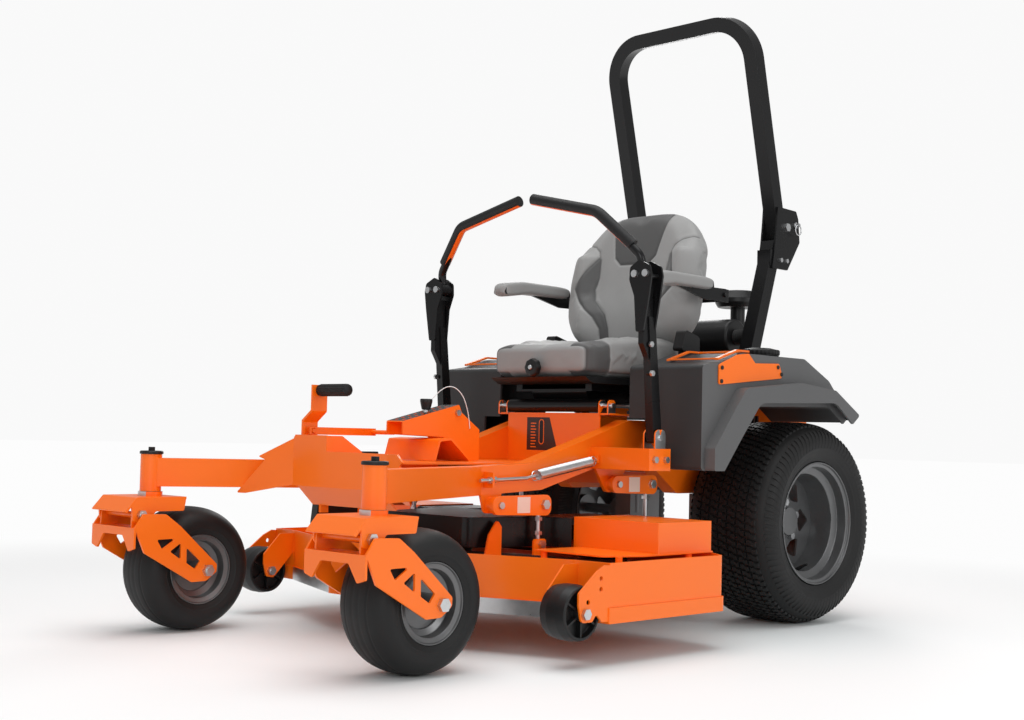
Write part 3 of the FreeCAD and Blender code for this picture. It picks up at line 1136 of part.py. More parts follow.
def rops_hoop():
    """Upper hoop of square tube, drawn upright and then leaned forwards about its pivot."""
    outer_x = ROLL_X + ROLL_TUBE / 2
    inner_x = ROLL_X - ROLL_TUBE / 2
    low = ROLL_PIVOT_Z - 34
    height = (ROLL_TOP - ROLL_PIVOT_Z) / math.cos(math.radians(HOOP_LEAN)) - 6
    top = ROLL_PIVOT_Z + height
    inner_corner = ROLL_CORNER - ROLL_TUBE
    hoop = prism("y", [(-outer_x, low), (-outer_x, top, ROLL_CORNER), (outer_x, top, ROLL_CORNER),
                       (outer_x, low), (inner_x, low), (inner_x, top - ROLL_TUBE, inner_corner),
                       (-inner_x, top - ROLL_TUBE, inner_corner), (-inner_x, low)], -42, 4)
    wall = 4.0
    hollow = prism("y", [(-outer_x + wall, low + 80), (-outer_x + wall, top - wall, ROLL_CORNER - wall),
                         (outer_x - wall, top - wall, ROLL_CORNER - wall), (outer_x - wall, low + 80),
                         (inner_x + wall, low + 80),
                         (inner_x + wall, top - ROLL_TUBE + wall, inner_corner + wall),
                         (-inner_x - wall, top - ROLL_TUBE + wall, inner_corner + wall),
                         (-inner_x - wall, low + 80)], -42 + wall, 4 - wall)
    hoop = hoop.cut(hollow)
    hoop.translate(vec(0, ROLL_PIVOT_Y, 0))
    hoop.rotate(vec(0, ROLL_PIVOT_Y, ROLL_PIVOT_Z), vec(1, 0, 0), HOOP_LEAN)
    bore = rod((-400, ROLL_PIVOT_Y, ROLL_PIVOT_Z), (400, ROLL_PIVOT_Y, ROLL_PIVOT_Z),
               ROLL_PIVOT_R + RUN_GAP)
    return [hoop.cut(bore)]


# ================================================================ seat
def seat_platform():
    """Black platform that tips forward on the riser's ears, with the suspension on it."""
    half = SEAT_EAR_X - 4
    hinge_z = SEAT_HINGE_Z + 14
    bar = pipe((-half, SEAT_HINGE_Y, hinge_z), (half, SEAT_HINGE_Y, hinge_z), 19, SEAT_PIN_R + RUN_GAP)
    plate = block((-150, 150), (SEAT_HINGE_Y + 16, -290), (hinge_z + 6, hinge_z + 12))
    web = block((-150, 150), (SEAT_HINGE_Y + 12, SEAT_HINGE_Y + 40), (hinge_z - 6, hinge_z + 8))
    feet = [rod((s * 120, -320, RISER_TOP + 0.5), (s * 120, -320, hinge_z + 8), 14) for s in (-1, 1)]
    scissor = prism("x", [(-560, hinge_z + 11), (-330, hinge_z + 11), (-310, 682, 6), (-580, 682, 6)],
                    -110, 110)
    body = union([bar, plate, web, *feet, scissor])
    rails = [block((s * 140 - 12, s * 140 + 12), (-600, -300), (682, 696)) for s in (-1, 1)]
    deck = block((-152, 152), (-600, -300), (676, 682.5))
    bore = rod((-300, SEAT_HINGE_Y, hinge_z), (300, SEAT_HINGE_Y, hinge_z), SEAT_PIN_R + RUN_GAP)
    return [union([body.cut(bore), deck, *rails])]


def seat_pan():
    """Moulded pan under the cushion, back stay, armrest pivots and belt retractor."""
    pan = prism("x", [(SEAT_FRONT_Y + 20, 705), (SEAT_FRONT_Y + 4, 715.5), (-215, 715.5), (-205, 706),
                      (-215, 697), (-640, 697)], -192, 192)
    stay = prism("x", [(-214, 697), (-170, 697), (-112, 1040, 6), (-156, 1048, 6), (-203, 826, 20)], -60, 60)
    arms = prism("y", [(-ARMREST_X + 6, ARMREST_Z - 16), (ARMREST_X - 6, ARMREST_Z - 16),
                       (ARMREST_X - 6, ARMREST_Z + 16), (-ARMREST_X + 6, ARMREST_Z + 16)],
                 -140, -126)
    ears = []
    for s in (-1, 1):
        ear = prism("x", [(-185, ARMREST_Z - 20, 14), (-126, ARMREST_Z - 20, 2), (-126, ARMREST_Z + 20, 2),
                          (-185, ARMREST_Z + 20, 14)], s * (ARMREST_X - 9) - 4, s * (ARMREST_X - 9) + 4)
        pin = rod((s * (ARMREST_X - 8), ARMREST_Y, ARMREST_Z),
                  (s * (ARMREST_X + 16), ARMREST_Y, ARMREST_Z), ARMREST_PIN_R)
        ears += [ear, pin]
    case = prism("x", [(-350, 806, 8), (-262, 800, 8), (-262, 850, 14), (-330, 868, 10)], 247, 283)
    link = block((247, 253), (-300, -272), (697, 815))
    base = block((186, 253), (-300, -272), (697, 703))
    retractor = union([case, link, base])
    return [union([pan, stay, arms, *ears] + both([retractor]))]


def seat_cushion():
    """Closed form of the seat cushion."""
    return [prism("x", [(SEAT_FRONT_Y, SEAT_LOW, 12), (SEAT_FRONT_Y, SEAT_HIGH, 24), (-330, 806, 40),
                        (-222, 824, 10), (-222, SEAT_LOW, 10)], -SEAT_HALF, SEAT_HALF)]


def seat_back():
    """Closed form of the backrest, leaning back."""
    back = prism("y", [(-232, 790, 50), (232, 790, 50), (BACK_HALF, 1020, 60), (180, BACK_TOP - 12, 90),
                       (-180, BACK_TOP - 12, 90), (-BACK_HALF, 1020, 60)], -305, -215)
    back.rotate(vec(0, -215, 790), vec(1, 0, 0), -12)
    return [back.cut(block((-300, 300), (-700, 100), (700, 826)))]


def armrest():
    """Left armrest pad on its steel arm, hinged at the back."""
    x = ARMREST_X
    pad = prism("x", [(-548, 984, 8), (-540, 1008, 8), (-440, 1022, 60), (-245, 1022, 10), (-240, 997, 6),
                      (-430, 997, 30)], x - 26, x + 26)
    arm = prism("x", [(-440, 1003), (-260, 1003), (ARMREST_Y + 18, 1004, 14), (ARMREST_Y + 18, 966, 14),
                      (-262, 964, 20)], x + 1, x + 9)
    bore = rod((x - 10, ARMREST_Y, ARMREST_Z), (x + 20, ARMREST_Y, ARMREST_Z), ARMREST_PIN_R + RUN_GAP)
    return [union([pad, arm]).cut(bore)]


def weight_knob():
    """Suspension weight knob on the seat's front."""
    knob = Part.makeCone(26, 22, 18, vec(0, SEAT_FRONT_Y - 4.5, KNOB_Z), vec(0, -1, 0))
    return [union([knob, rod((0, SEAT_FRONT_Y - 22, KNOB_Z), (0, SEAT_FRONT_Y - 28, KNOB_Z), 8),
                   rod((0, SEAT_FRONT_Y - 0.5, KNOB_Z), (0, SEAT_FRONT_Y - 5, KNOB_Z), 12)])]


# ================================================================ hand levers
def lever():
    """Left control lever: lower bar, slotted adjuster and the clamp for the lap bar."""
    x = LEVER_X
    bar = prism("x", [(LEVER_Y - 18, LEVER_Z - 16, 12), (LEVER_Y + 18, LEVER_Z - 16, 12),
                      (LEVER_Y - 20, 872, 4), (LEVER_Y - 48, 876, 4)], x - 13, x + 13)
    bore = rod((x - 20, LEVER_Y, LEVER_Z), (x + 20, LEVER_Y, LEVER_Z), LEVER_PIN_R + RUN_GAP)
    adjuster = prism("x", [(-706, 800, 6), (-668, 740, 6), (-655, 745, 4), (-668, 920, 4), (-664, 960, 4),
                           (-706, 960, 4)], x - 9, x + 9)
    front = prism("y", [(x - 14, 832, 6), (x + 12, 832, 6), (x + 30, 930, 20), (x + 38, 985, 16),
                        (x + 32, 1012, 12), (x - 6, 1030, 12), (x - 38, 1010, 12), (x - 40, 975, 16),
                        (x - 22, 930, 20)], -712, -706)
    rear = prism("y", [(x - 14, 832, 6), (x + 12, 832, 6), (x + 30, 930, 20), (x + 38, 985, 16),
                       (x + 32, 1012, 12), (x - 6, 1030, 12), (x - 38, 1010, 12), (x - 40, 975, 16),
                       (x - 22, 930, 20)], -664, -658)
    pin = rod((CLAMP_IN_X, -716, CLAMP_Z), (CLAMP_IN_X, -654, CLAMP_Z), CLAMP_PIN_R)
    heads = [rod((px, -719, CLAMP_Z), (px, -711.5, CLAMP_Z), 10) for px in (CLAMP_IN_X, CLAMP_OUT_X)]
    bolts = []
    for z in (720, 799):
        y = LEVER_Y - 18 + (LEVER_Z - z) * 0.09
        bolts.append(union([rod((x, y, z), (x + 22, y, z), 6), hexagon((x + 13, y, z), (x + 20, y, z), 15)]))
    stop = rod((CLAMP_OUT_X, -712, CLAMP_Z - 6), (CLAMP_OUT_X, -658, CLAMP_Z - 6), 6)
    return [union([bar.cut(bore), adjuster, front, rear, pin, *heads, *bolts, stop])]


def lap_bar():
    """Left lap bar: knuckle between the clamp plates, bent tube and grip."""
    y = -685.0
    knuckle = pipe((CLAMP_IN_X, -705.5, CLAMP_Z), (CLAMP_IN_X, -664.5, CLAMP_Z), 19, CLAMP_PIN_R + RUN_GAP)
    tube = bent_rod([(CLAMP_IN_X + 2, y, CLAMP_Z + 18), (CLAMP_IN_X + 2, y - 6, CLAMP_Z + 52),
                     (GRIP_BEND_X, GRIP_Y, GRIP_BEND_Z), (GRIP_TIP_X + 8, GRIP_Y, GRIP_TIP_Z)],
                    [40, 60], LAP_R)
    tube = tube.cut(rod((CLAMP_IN_X, -720, CLAMP_Z), (CLAMP_IN_X, -650, CLAMP_Z), CLAMP_PIN_R + RUN_GAP))
    bore_sink = union([knuckle, tube])
    start = vec(CLAMP_IN_X - 20, y - 14, CLAMP_Z + 82)
    grip = bent_rod([(start.x, start.y, start.z), (GRIP_BEND_X, GRIP_Y, GRIP_BEND_Z),
                     (GRIP_TIP_X, GRIP_Y, GRIP_TIP_Z)], [60], GRIP_R)
    return [union([bore_sink, grip])]


save("frame_rails", frame_rails())
save("front_arms", front_arms())
save("nose_pan", nose_pan())
save("lift_tower", lift_tower())
save("height_pin", height_pin())
save("pin_lanyard", pin_lanyard())
save("seat_riser", seat_riser())
save("rear_bumper", rear_bumper())
save_pair("rear_tyre", rear_tyre())
save_pair("rear_rim", rear_rim())
save("transaxles", transaxles())
save_pair("caster_bracket", caster_bracket())
save_pair("caster_fork", caster_fork())
save_pair("caster_tyre", caster_tyre())
save_pair("caster_rim", caster_rim())
save("deck_shell", deck_shell())
save("belt_covers", belt_covers())
save("centre_cover", centre_cover())
save("spindle_housings", spindle_housings())
for blade_name, spot, blade_turn in zip(("left", "centre", "right"), SPINDLES, (20, 75, 130)):
    save(blade_name + "_blade", blade(*spot, blade_turn))
save("deck_belt", deck_belt())
save_pair("scalp_wheel", scalp_wheel())
save("discharge_chute", discharge_chute())
save("front_lift_arms", both([lift_arm(FRONT_LIFT_Y, FRONT_LIFT_Z, FRONT_LIFT_LENGTH)]))
save("rear_lift_arms", both([lift_arm(REAR_LIFT_Y, REAR_LIFT_Z, REAR_LIFT_LENGTH)]))
save("deck_hangers", deck_hangers())
save("lift_springs", lift_springs())
save("frame_hardware", frame_hardware())
save("foot_pedal", foot_pedal())
save("pedal_link", pedal_link())
save("engine_block", engine_block())
save("engine_shroud", engine_shroud())
save("air_intake", air_intake())
save_pair("fender", fender())
save("badge_plates", badge_plates())
save("rops_posts", rops_posts())
save_pair("rops_pin", lock_pin())
save("rops_hoop", rops_hoop())
save("seat_platform", seat_platform())
save("seat_pan", seat_pan())
save("seat_cushion", seat_cushion())
save("seat_back", seat_back())
save_pair("armrest", armrest())
save("weight_knob", weight_knob())
save_pair("lever", lever())
save_pair("lap_bar", lap_bar())
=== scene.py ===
import json
import math

import bmesh
import bpy
import numpy as np
from mathutils import Matrix, Vector

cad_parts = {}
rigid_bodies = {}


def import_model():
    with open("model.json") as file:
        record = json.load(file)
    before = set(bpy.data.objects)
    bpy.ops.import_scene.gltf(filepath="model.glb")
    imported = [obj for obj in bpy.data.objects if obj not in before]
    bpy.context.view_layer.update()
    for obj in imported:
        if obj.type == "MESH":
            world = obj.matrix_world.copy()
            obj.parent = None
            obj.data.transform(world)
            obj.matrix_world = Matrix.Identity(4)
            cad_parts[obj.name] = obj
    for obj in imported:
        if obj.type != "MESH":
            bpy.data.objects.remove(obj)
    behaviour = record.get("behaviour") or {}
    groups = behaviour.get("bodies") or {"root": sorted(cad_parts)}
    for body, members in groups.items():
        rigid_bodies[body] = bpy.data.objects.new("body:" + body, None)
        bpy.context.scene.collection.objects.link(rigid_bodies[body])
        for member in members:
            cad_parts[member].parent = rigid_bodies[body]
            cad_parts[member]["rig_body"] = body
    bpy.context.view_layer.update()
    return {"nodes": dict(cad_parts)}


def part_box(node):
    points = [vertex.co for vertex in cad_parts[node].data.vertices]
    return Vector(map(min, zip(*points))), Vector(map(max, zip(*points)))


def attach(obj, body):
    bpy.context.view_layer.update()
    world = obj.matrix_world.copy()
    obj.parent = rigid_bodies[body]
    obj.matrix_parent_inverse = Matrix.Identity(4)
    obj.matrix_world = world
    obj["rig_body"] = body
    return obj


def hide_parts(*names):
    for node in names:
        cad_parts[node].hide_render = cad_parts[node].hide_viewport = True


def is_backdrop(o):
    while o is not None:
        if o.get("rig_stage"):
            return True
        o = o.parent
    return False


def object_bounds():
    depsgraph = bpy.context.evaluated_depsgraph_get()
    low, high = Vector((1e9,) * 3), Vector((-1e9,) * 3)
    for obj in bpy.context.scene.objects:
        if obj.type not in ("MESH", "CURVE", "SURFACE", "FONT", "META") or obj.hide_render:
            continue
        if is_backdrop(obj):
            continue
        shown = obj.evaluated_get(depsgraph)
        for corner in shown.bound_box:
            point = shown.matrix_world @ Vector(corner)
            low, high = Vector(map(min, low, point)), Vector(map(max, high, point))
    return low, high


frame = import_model()
scene = bpy.context.scene


# ------------------------------------------------------------ camera, floor and light
# The mower stands on a pale studio floor under one broad overhead softbox, with a weaker
# one at the front left.  The camera is low, off its left front corner.
right = Vector((0.7113, 0.7029, 0.0)).normalized()
forward = Vector((-0.7020, 0.7104, 0.0515)).normalized()
level = right.cross(forward)
roll = math.radians(1.36)
across = right * math.cos(roll) + level * math.sin(roll)
upward = level * math.cos(roll) - right * math.sin(roll)
camera = bpy.data.objects.new("viewpoint", bpy.data.cameras.new("viewpoint"))
camera.data.lens = 50.67
camera.data.sensor_width = 36.0
camera.data.clip_end = 200.0
camera.matrix_world = Matrix.Translation((2.921, -3.028, 0.545)) @ Matrix(
    (across, upward, -forward)).transposed().to_4x4()
scene.collection.objects.link(camera)
scene.camera = camera
scene.view_settings.view_transform = "Standard"

LIGHTS = (("overhead", (0.3, -0.4, 5.0), (0.0, 0.0, 0.4), 5.0, 190.0),
          ("front_left", (4.6, -5.2, 2.6), (0.2, -0.3, 0.6), 2.5, 85.0),
          ("left_side", (6.0, 1.2, 2.4), (0.3, 0.3, 0.6), 2.0, 60.0),
          ("behind", (-4.0, 5.0, 3.6), (0.0, 0.2, 0.9), 2.5, 90.0))
for name, place, target, size, power in LIGHTS:
    lamp = bpy.data.objects.new(name, bpy.data.lights.new(name, "AREA"))
    lamp.data.size = size
    lamp.data.energy = power
    lamp.location = place
    lamp.rotation_euler = (Vector(target) - Vector(place)).to_track_quat("-Z", "Y").to_euler()
    scene.collection.objects.link(lamp)
scene.world = bpy.data.worlds.new("studio")
scene.world.use_nodes = True
sky = scene.world.node_tree
sky.nodes["Background"].inputs[1].default_value = 0.42
backdrop = sky.nodes.new("ShaderNodeBackground")
backdrop.inputs[1].default_value = 0.95
seen = sky.nodes.new("ShaderNodeLightPath")
either = sky.nodes.new("ShaderNodeMixShader")
sky.links.new(seen.outputs["Is Camera Ray"], either.inputs[0])
sky.links.new(sky.nodes["Background"].outputs[0], either.inputs[1])
sky.links.new(backdrop.outputs[0], either.inputs[2])
sky.links.new(either.outputs[0], sky.nodes["World Output"].inputs[0])
for shade in (sky.nodes["Background"], backdrop):
    shade.inputs[0].default_value = (1.0, 1.0, 1.0, 1.0)

floor_mesh = bpy.data.meshes.new("floor")
floor_mesh.from_pydata([(-40, -40, -0.0005), (40, -40, -0.0005), (40, 40, -0.0005),
                        (-40, 40, -0.0005)], [], [(0, 1, 2, 3)])
floor = bpy.data.objects.new("floor", floor_mesh)
scene.collection.objects.link(floor)
floor_coat = bpy.data.materials.new("floor")
floor_coat.use_nodes = True
floor_tree = floor_coat.node_tree
paper = floor_tree.nodes["Principled BSDF"]
paper.inputs["Roughness"].default_value = 0.7
floor_place = floor_tree.nodes.new("ShaderNodeTexCoord")
reach = floor_tree.nodes.new("ShaderNodeVectorMath")
reach.operation = "LENGTH"
floor_tree.links.new(floor_place.outputs["Object"], reach.inputs[0])


def ramp(tree, value, low, high, start=0.0, end=1.0):
    """Number that runs from start to end while value goes from low to high."""
    node = tree.nodes.new("ShaderNodeMapRange")
    node.inputs["From Min"].default_value = low
    node.inputs["From Max"].default_value = high
    node.inputs["To Min"].default_value = start
    node.inputs["To Max"].default_value = end
    tree.links.new(value, node.inputs["Value"])
    return node


def blended(tree, factor, first, second):
    """Colour between first and second by factor; each is a colour or another node's output."""
    node = tree.nodes.new("ShaderNodeMix")
    node.data_type = "RGBA"
    tree.links.new(factor, node.inputs["Factor"])
    for socket, colour in (("A", first), ("B", second)):
        if isinstance(colour, tuple):
            node.inputs[socket].default_value = (*colour, 1)
        else:
            tree.links.new(colour, node.inputs[socket])
    return node.outputs["Result"]


# Under the machine the paper's colour is painted a little cooler, to cancel the orange light
# that the deck bounces onto it, and from two to four metres out it turns into an even white.
counter_bounce_fade = ramp(floor_tree, reach.outputs["Value"], 0.3, 1.25)
far = ramp(floor_tree, reach.outputs["Value"], 1.9, 3.6)
for edge in (counter_bounce_fade, far):
    edge.interpolation_type = "SMOOTHSTEP"
floor_tree.links.new(blended(floor_tree, counter_bounce_fade.outputs["Result"], (0.74, 0.86, 0.875), (0.92, 0.92, 0.92)),
                     paper.inputs["Base Color"])
glow = floor_tree.nodes.new("ShaderNodeEmission")
glow.inputs["Strength"].default_value = 0.98
fade = floor_tree.nodes.new("ShaderNodeMixShader")
floor_tree.links.new(far.outputs["Result"], fade.inputs[0])
floor_tree.links.new(paper.outputs[0], fade.inputs[1])
floor_tree.links.new(glow.outputs[0], fade.inputs[2])
floor_tree.links.new(fade.outputs[0], floor_tree.nodes["Material Output"].inputs[0])
floor_mesh.materials.append(floor_coat)
floor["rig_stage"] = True


# ------------------------------------------------------------ lanyard of the height pin
# Thin stainless wire rope from the pin's knob to the side of the height rack, held at both
# ends, so that the pulled pin stays with the machine.
axle = (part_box("left_rear_tyre")[0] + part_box("left_rear_tyre")[1]) / 2
LANYARD = [(-0.030, -1.058, 0.636), (-0.022, -1.030, 0.668), (-0.002, -1.004, 0.676),
           (0.008, -0.976, 0.652), (0.009, -0.958, 0.612), (0.007, -0.948, 0.578),
           (0.0054, -0.944, 0.558)]
lanyard_curve = bpy.data.curves.new("height_pin_lanyard", "CURVE")
lanyard_curve.dimensions = "3D"
lanyard_spline = lanyard_curve.splines.new("NURBS")
lanyard_spline.points.add(len(LANYARD) - 1)
for point, (x, y, z) in zip(lanyard_spline.points, LANYARD):
    point.co = (x, y + axle.y, z, 1.0)
lanyard_spline.order_u = 3
lanyard_spline.use_endpoint_u = True
lanyard_curve.resolution_u = 12
lanyard_curve.bevel_depth = 0.0012
lanyard_curve.bevel_resolution = 2
lanyard_curve.use_fill_caps = True
lanyard = bpy.data.objects.new("height_pin_lanyard", lanyard_curve)
scene.collection.objects.link(lanyard)
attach(lanyard, "chassis")
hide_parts("pin_lanyard")


def finish(name, colour, rough, metal=0.0, patches=0.1, patch_size=0.12, grain=0.001,
           depth=0.00003, coat=0.0, dust=0.0, gloss=0.5):
    """Finish of one material.  Large soft patches lighten and darken the colour by the
    patches share, and shift the roughness a little; a fine grain, grain metres across, is
    raised by depth metres.  Dust pales the faces that look up."""
    material = bpy.data.materials.new(name)
    material.use_nodes = True
    tree = material.node_tree
    shader = tree.nodes["Principled BSDF"]
    shader.inputs["Metallic"].default_value = metal
    shader.inputs["Coat Weight"].default_value = coat
    shader.inputs["Coat Roughness"].default_value = 0.12
    shader.inputs["Specular IOR Level"].default_value = gloss
    place = tree.nodes.new("ShaderNodeTexCoord")
    cloud = tree.nodes.new("ShaderNodeTexNoise")
    cloud.inputs["Scale"].default_value = 1 / patch_size
    cloud.inputs["Detail"].default_value = 5.0
    tree.links.new(place.outputs["Object"], cloud.inputs["Vector"])
    last = blended(tree, cloud.outputs["Fac"], tuple(c * (1 - patches) for c in colour),
                   tuple(min(1.0, c * (1 + patches)) for c in colour))
    if dust:
        facing = tree.nodes.new("ShaderNodeNewGeometry")
        split = tree.nodes.new("ShaderNodeSeparateXYZ")
        tree.links.new(facing.outputs["Normal"], split.inputs[0])
        upper = ramp(tree, split.outputs["Z"], 0.2, 1.0, 0.0, dust)
        last = blended(tree, upper.outputs["Result"], last, (0.42, 0.40, 0.36))
    tree.links.new(last, shader.inputs["Base Color"])
    sheen = ramp(tree, cloud.outputs["Fac"], 0.0, 1.0, rough * 0.8, min(1.0, rough * 1.2))
    tree.links.new(sheen.outputs["Result"], shader.inputs["Roughness"])
    fine = tree.nodes.new("ShaderNodeTexNoise")
    fine.inputs["Scale"].default_value = 1 / grain
    fine.inputs["Detail"].default_value = 2.0
    tree.links.new(place.outputs["Object"], fine.inputs["Vector"])
    bump = tree.nodes.new("ShaderNodeBump")
    bump.inputs["Strength"].default_value = 0.6
    bump.inputs["Distance"].default_value = depth
    tree.links.new(fine.outputs["Fac"], bump.inputs["Height"])
    tree.links.new(bump.outputs["Normal"], shader.inputs["Normal"])
    return material


def eased(node, name, coats, paint=None, edge=0.0012):
    """Copy of a plain part with its sharp edges rolled over by edge metres, in two steps.
    paint takes the faces' middles and outward directions and gives each face's coat."""
    mesh = frame["nodes"][node].data.copy()
    mesh.name = name
    mesh.materials.clear()
    solid = bmesh.new()
    solid.from_mesh(mesh)
    bmesh.ops.remove_doubles(solid, verts=solid.verts, dist=0.000002)
    bmesh.ops.dissolve_limit(solid, angle_limit=math.radians(0.6), verts=solid.verts,
                             edges=solid.edges)
    solid.to_mesh(mesh)
    solid.free()
    for layer in ("custom_normal", "UVMap"):
        if layer in mesh.attributes:
            mesh.attributes.remove(mesh.attributes[layer])
    for coat in coats:
        mesh.materials.append(coat)
    numbers = np.zeros(len(mesh.polygons), np.int32)
    if paint is not None:
        middles = np.empty(len(numbers) * 3)
        mesh.polygons.foreach_get("center", middles)
        outward = np.empty(len(numbers) * 3)
        mesh.polygons.foreach_get("normal", outward)
        middles = middles.reshape(-1, 3) - (0.0, axle.y, 0.0)
        numbers[:] = paint(middles, outward.reshape(-1, 3))
    mesh.polygons.foreach_set("material_index", numbers)
    mesh.shade_smooth()
    piece = bpy.data.objects.new(name, mesh)
    scene.collection.objects.link(piece)
    bevel = piece.modifiers.new("rolled_edges", "BEVEL")
    bevel.width = edge
    bevel.segments = 2
    bevel.limit_method = "ANGLE"
    bevel.angle_limit = math.radians(38)
    bevel.use_clamp_overlap = True
    bevel.miter_outer = "MITER_ARC"
    shade = piece.modifiers.new("flat_faces", "WEIGHTED_NORMAL")
    shade.weight = 60
    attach(piece, frame["nodes"][node]["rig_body"])
    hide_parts(node)
    return piece


# ------------------------------------------------------------ welded frame and nose
# Rectangular steel tubes and bent plate, welded, then powder coated orange.  The pivot
# pins of the levers and lift arms are plain zinc-plated steel.
orange_coat = finish("orange_powder_coat", (1.0, 0.168, 0.002), 0.36, patches=0.05, patch_size=0.25,
                     grain=0.0016, depth=0.00004, coat=0.2, gloss=0.4)
zinc_plate = finish("zinc_plate", (0.62, 0.63, 0.64), 0.3, metal=1.0, patches=0.14, patch_size=0.02,
                    grain=0.0006, depth=0.00002)
black_coat = finish("black_powder_coat", (0.0045, 0.0045, 0.005), 0.28, patches=0.25, patch_size=0.2,
                    grain=0.0014, depth=0.00004, gloss=0.32)
black_plastic = finish("black_plastic", (0.008, 0.008, 0.0085), 0.42, patches=0.2, patch_size=0.1,
                       grain=0.0009, depth=0.00005, gloss=0.35)


def near(points, y, z, reach):
    """True where a point is within reach of the line along X through y and z."""
    return np.hypot(points[:, 1] - y, points[:, 2] - z) < reach


# Places in a side view: rearward from the rear axle, and above the ground.
LEVER_PIN = (-0.640, 0.545)
FRONT_LIFT_PIN = (-1.082, 0.360)
REAR_LIFT_PIN = (-0.612, 0.411)
PEDAL_PIN = (-1.365, 0.498)
SEAT_PIN = (-0.590, 0.634)


def rail_paint(points, outward):
    """Zinc on the levers' pins and on the stubs that the lift arms turn on."""
    side = np.abs(points[:, 0])
    lever_pin = near(points, *LEVER_PIN, 0.0082) & (side > 0.39)
    stubs = (near(points, *FRONT_LIFT_PIN, 0.0095) | near(points, *REAR_LIFT_PIN, 0.0095)) & (side > 0.2625)
    return (lever_pin | stubs).astype(int)


eased("frame_rails", "main_frame", (orange_coat, zinc_plate), rail_paint)
eased("front_arms", "splayed_arms", (orange_coat,), edge=0.002)
eased("nose_pan", "nose", (orange_coat, zinc_plate),
      lambda p, n: near(p, *PEDAL_PIN, 0.0083).astype(int))
eased("rear_bumper", "bumper", (orange_coat,), edge=0.0016)
eased("seat_riser", "riser", (orange_coat, zinc_plate),
      lambda p, n: near(p, *SEAT_PIN, 0.0073).astype(int))
eased("frame_hardware", "frame_bolts", (zinc_plate, orange_coat),
      lambda p, n: ((np.abs(p[:, 0]) > 0.23) & (np.abs(n).max(1) > 0.999) &
                    (((p[:, 1] > -1.111) & (p[:, 1] < -1.102) & (p[:, 2] > 0.404) & (p[:, 2] < 0.447)) |
                     ((p[:, 1] > -0.701) & (p[:, 1] < -0.6935)))).astype(int), edge=0.0005)


# ------------------------------------------------------------ height rack
# Folded guard over the lift shaft with the pierced height rack on it.  The rack's sloping
# top is dark, and its two rows of holes take the stop pin for each cutting height.
eased("lift_tower", "height_rack", (orange_coat, black_plastic),
      lambda p, n: ((n[:, 2] > 0.85) & (n[:, 1] < -0.1) & (p[:, 1] > -1.19) &
                    (p[:, 1] < -0.985) & (p[:, 2] > 0.57)).astype(int), edge=0.0008)
eased("height_pin", "stop_pin", (black_plastic, zinc_plate),
      lambda p, n: (p[:, 2] < 0.606).astype(int), edge=0.0008)


def woven(rows, columns, round_rows=False, round_columns=False):
    """Quads over a grid of rows by columns points.  Each joins a point to the next one along
    and across, and the last row or column joins the first where the surface goes round."""
    r, c = np.meshgrid(np.arange(rows if round_rows else rows - 1),
                       np.arange(columns if round_columns else columns - 1), indexing="ij")
    along = (r + 1) % rows
    beside = (c + 1) % columns
    return np.stack([r * columns + c, along * columns + c, along * columns + beside,
                     r * columns + beside], -1).reshape(-1, 4)


def made(name, shapes, coats, body, sharp=40):
    """Piece from (points, faces, coat number) triples, its faces turned outwards."""
    start = 0
    points = []
    faces = []
    numbers = []
    for spots, quads, number in shapes:
        spots = np.asarray(spots, float).reshape(-1, 3)
        quads = quads.tolist() if hasattr(quads, "tolist") else quads
        points.append(spots)
        faces += [[i + start for i in quad] for quad in quads]
        numbers += [number] * len(quads)
        start += len(spots)
    mesh = bpy.data.meshes.new(name)
    mesh.from_pydata(np.concatenate(points).tolist(), [], faces)
    mesh.polygons.foreach_set("material_index", numbers)
    solid = bmesh.new()
    solid.from_mesh(mesh)
    bmesh.ops.remove_doubles(solid, verts=solid.verts, dist=0.000001)
    bmesh.ops.recalc_face_normals(solid, faces=solid.faces)
    solid.to_mesh(mesh)
    solid.free()
    for coat in coats:
        mesh.materials.append(coat)
    mesh.shade_smooth()
    mesh.set_sharp_from_angle(angle=math.radians(sharp))
    piece = bpy.data.objects.new(name, mesh)
    scene.collection.objects.link(piece)
    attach(piece, body)
    return piece


def turned(profile, centre, axis="x", steps=96):
    """Closed profile of (along, radius) points carried round an axis through centre: at angle
    t the point is centre + along * axis + radius * (cos t, sin t) across the axis."""
    profile = np.asarray(profile, float)
    t = np.linspace(0, 2 * np.pi, steps, endpoint=False)[:, None]
    along = np.broadcast_to(profile[:, 0], (steps, len(profile)))
    a = profile[:, 1] * np.cos(t)
    b = profile[:, 1] * np.sin(t)
    parts = {"x": (along, a, b), "y": (a, along, b), "z": (a, b, along)}[axis]
    return np.stack(parts, -1) + np.asarray(centre), woven(steps, len(profile), True, True)


def tube(path, radius, reference, sides=10):
    """Round bar carried along a path: at each point a ring of the given radius lies in the
    plane of the two directions across the path, the first one square to the reference."""
    path = np.asarray(path, float)
    ahead = np.gradient(path, axis=0)
    ahead /= np.linalg.norm(ahead, axis=1)[:, None]
    beside = np.cross(ahead, reference)
    beside /= np.linalg.norm(beside, axis=1)[:, None]
    above = np.cross(beside, ahead)
    t = np.linspace(0, 2 * np.pi, sides, endpoint=False)
    radius = np.broadcast_to(radius, len(path))[:, None, None]
    ring = path[:, None] + radius * (np.cos(t)[None, :, None] * beside[:, None] +
                                     np.sin(t)[None, :, None] * above[:, None])
    faces = woven(len(path), sides, False, True).tolist()
    last = (len(path) - 1) * sides
    return ring, faces + [list(range(sides)), list(range(last, last + sides))]


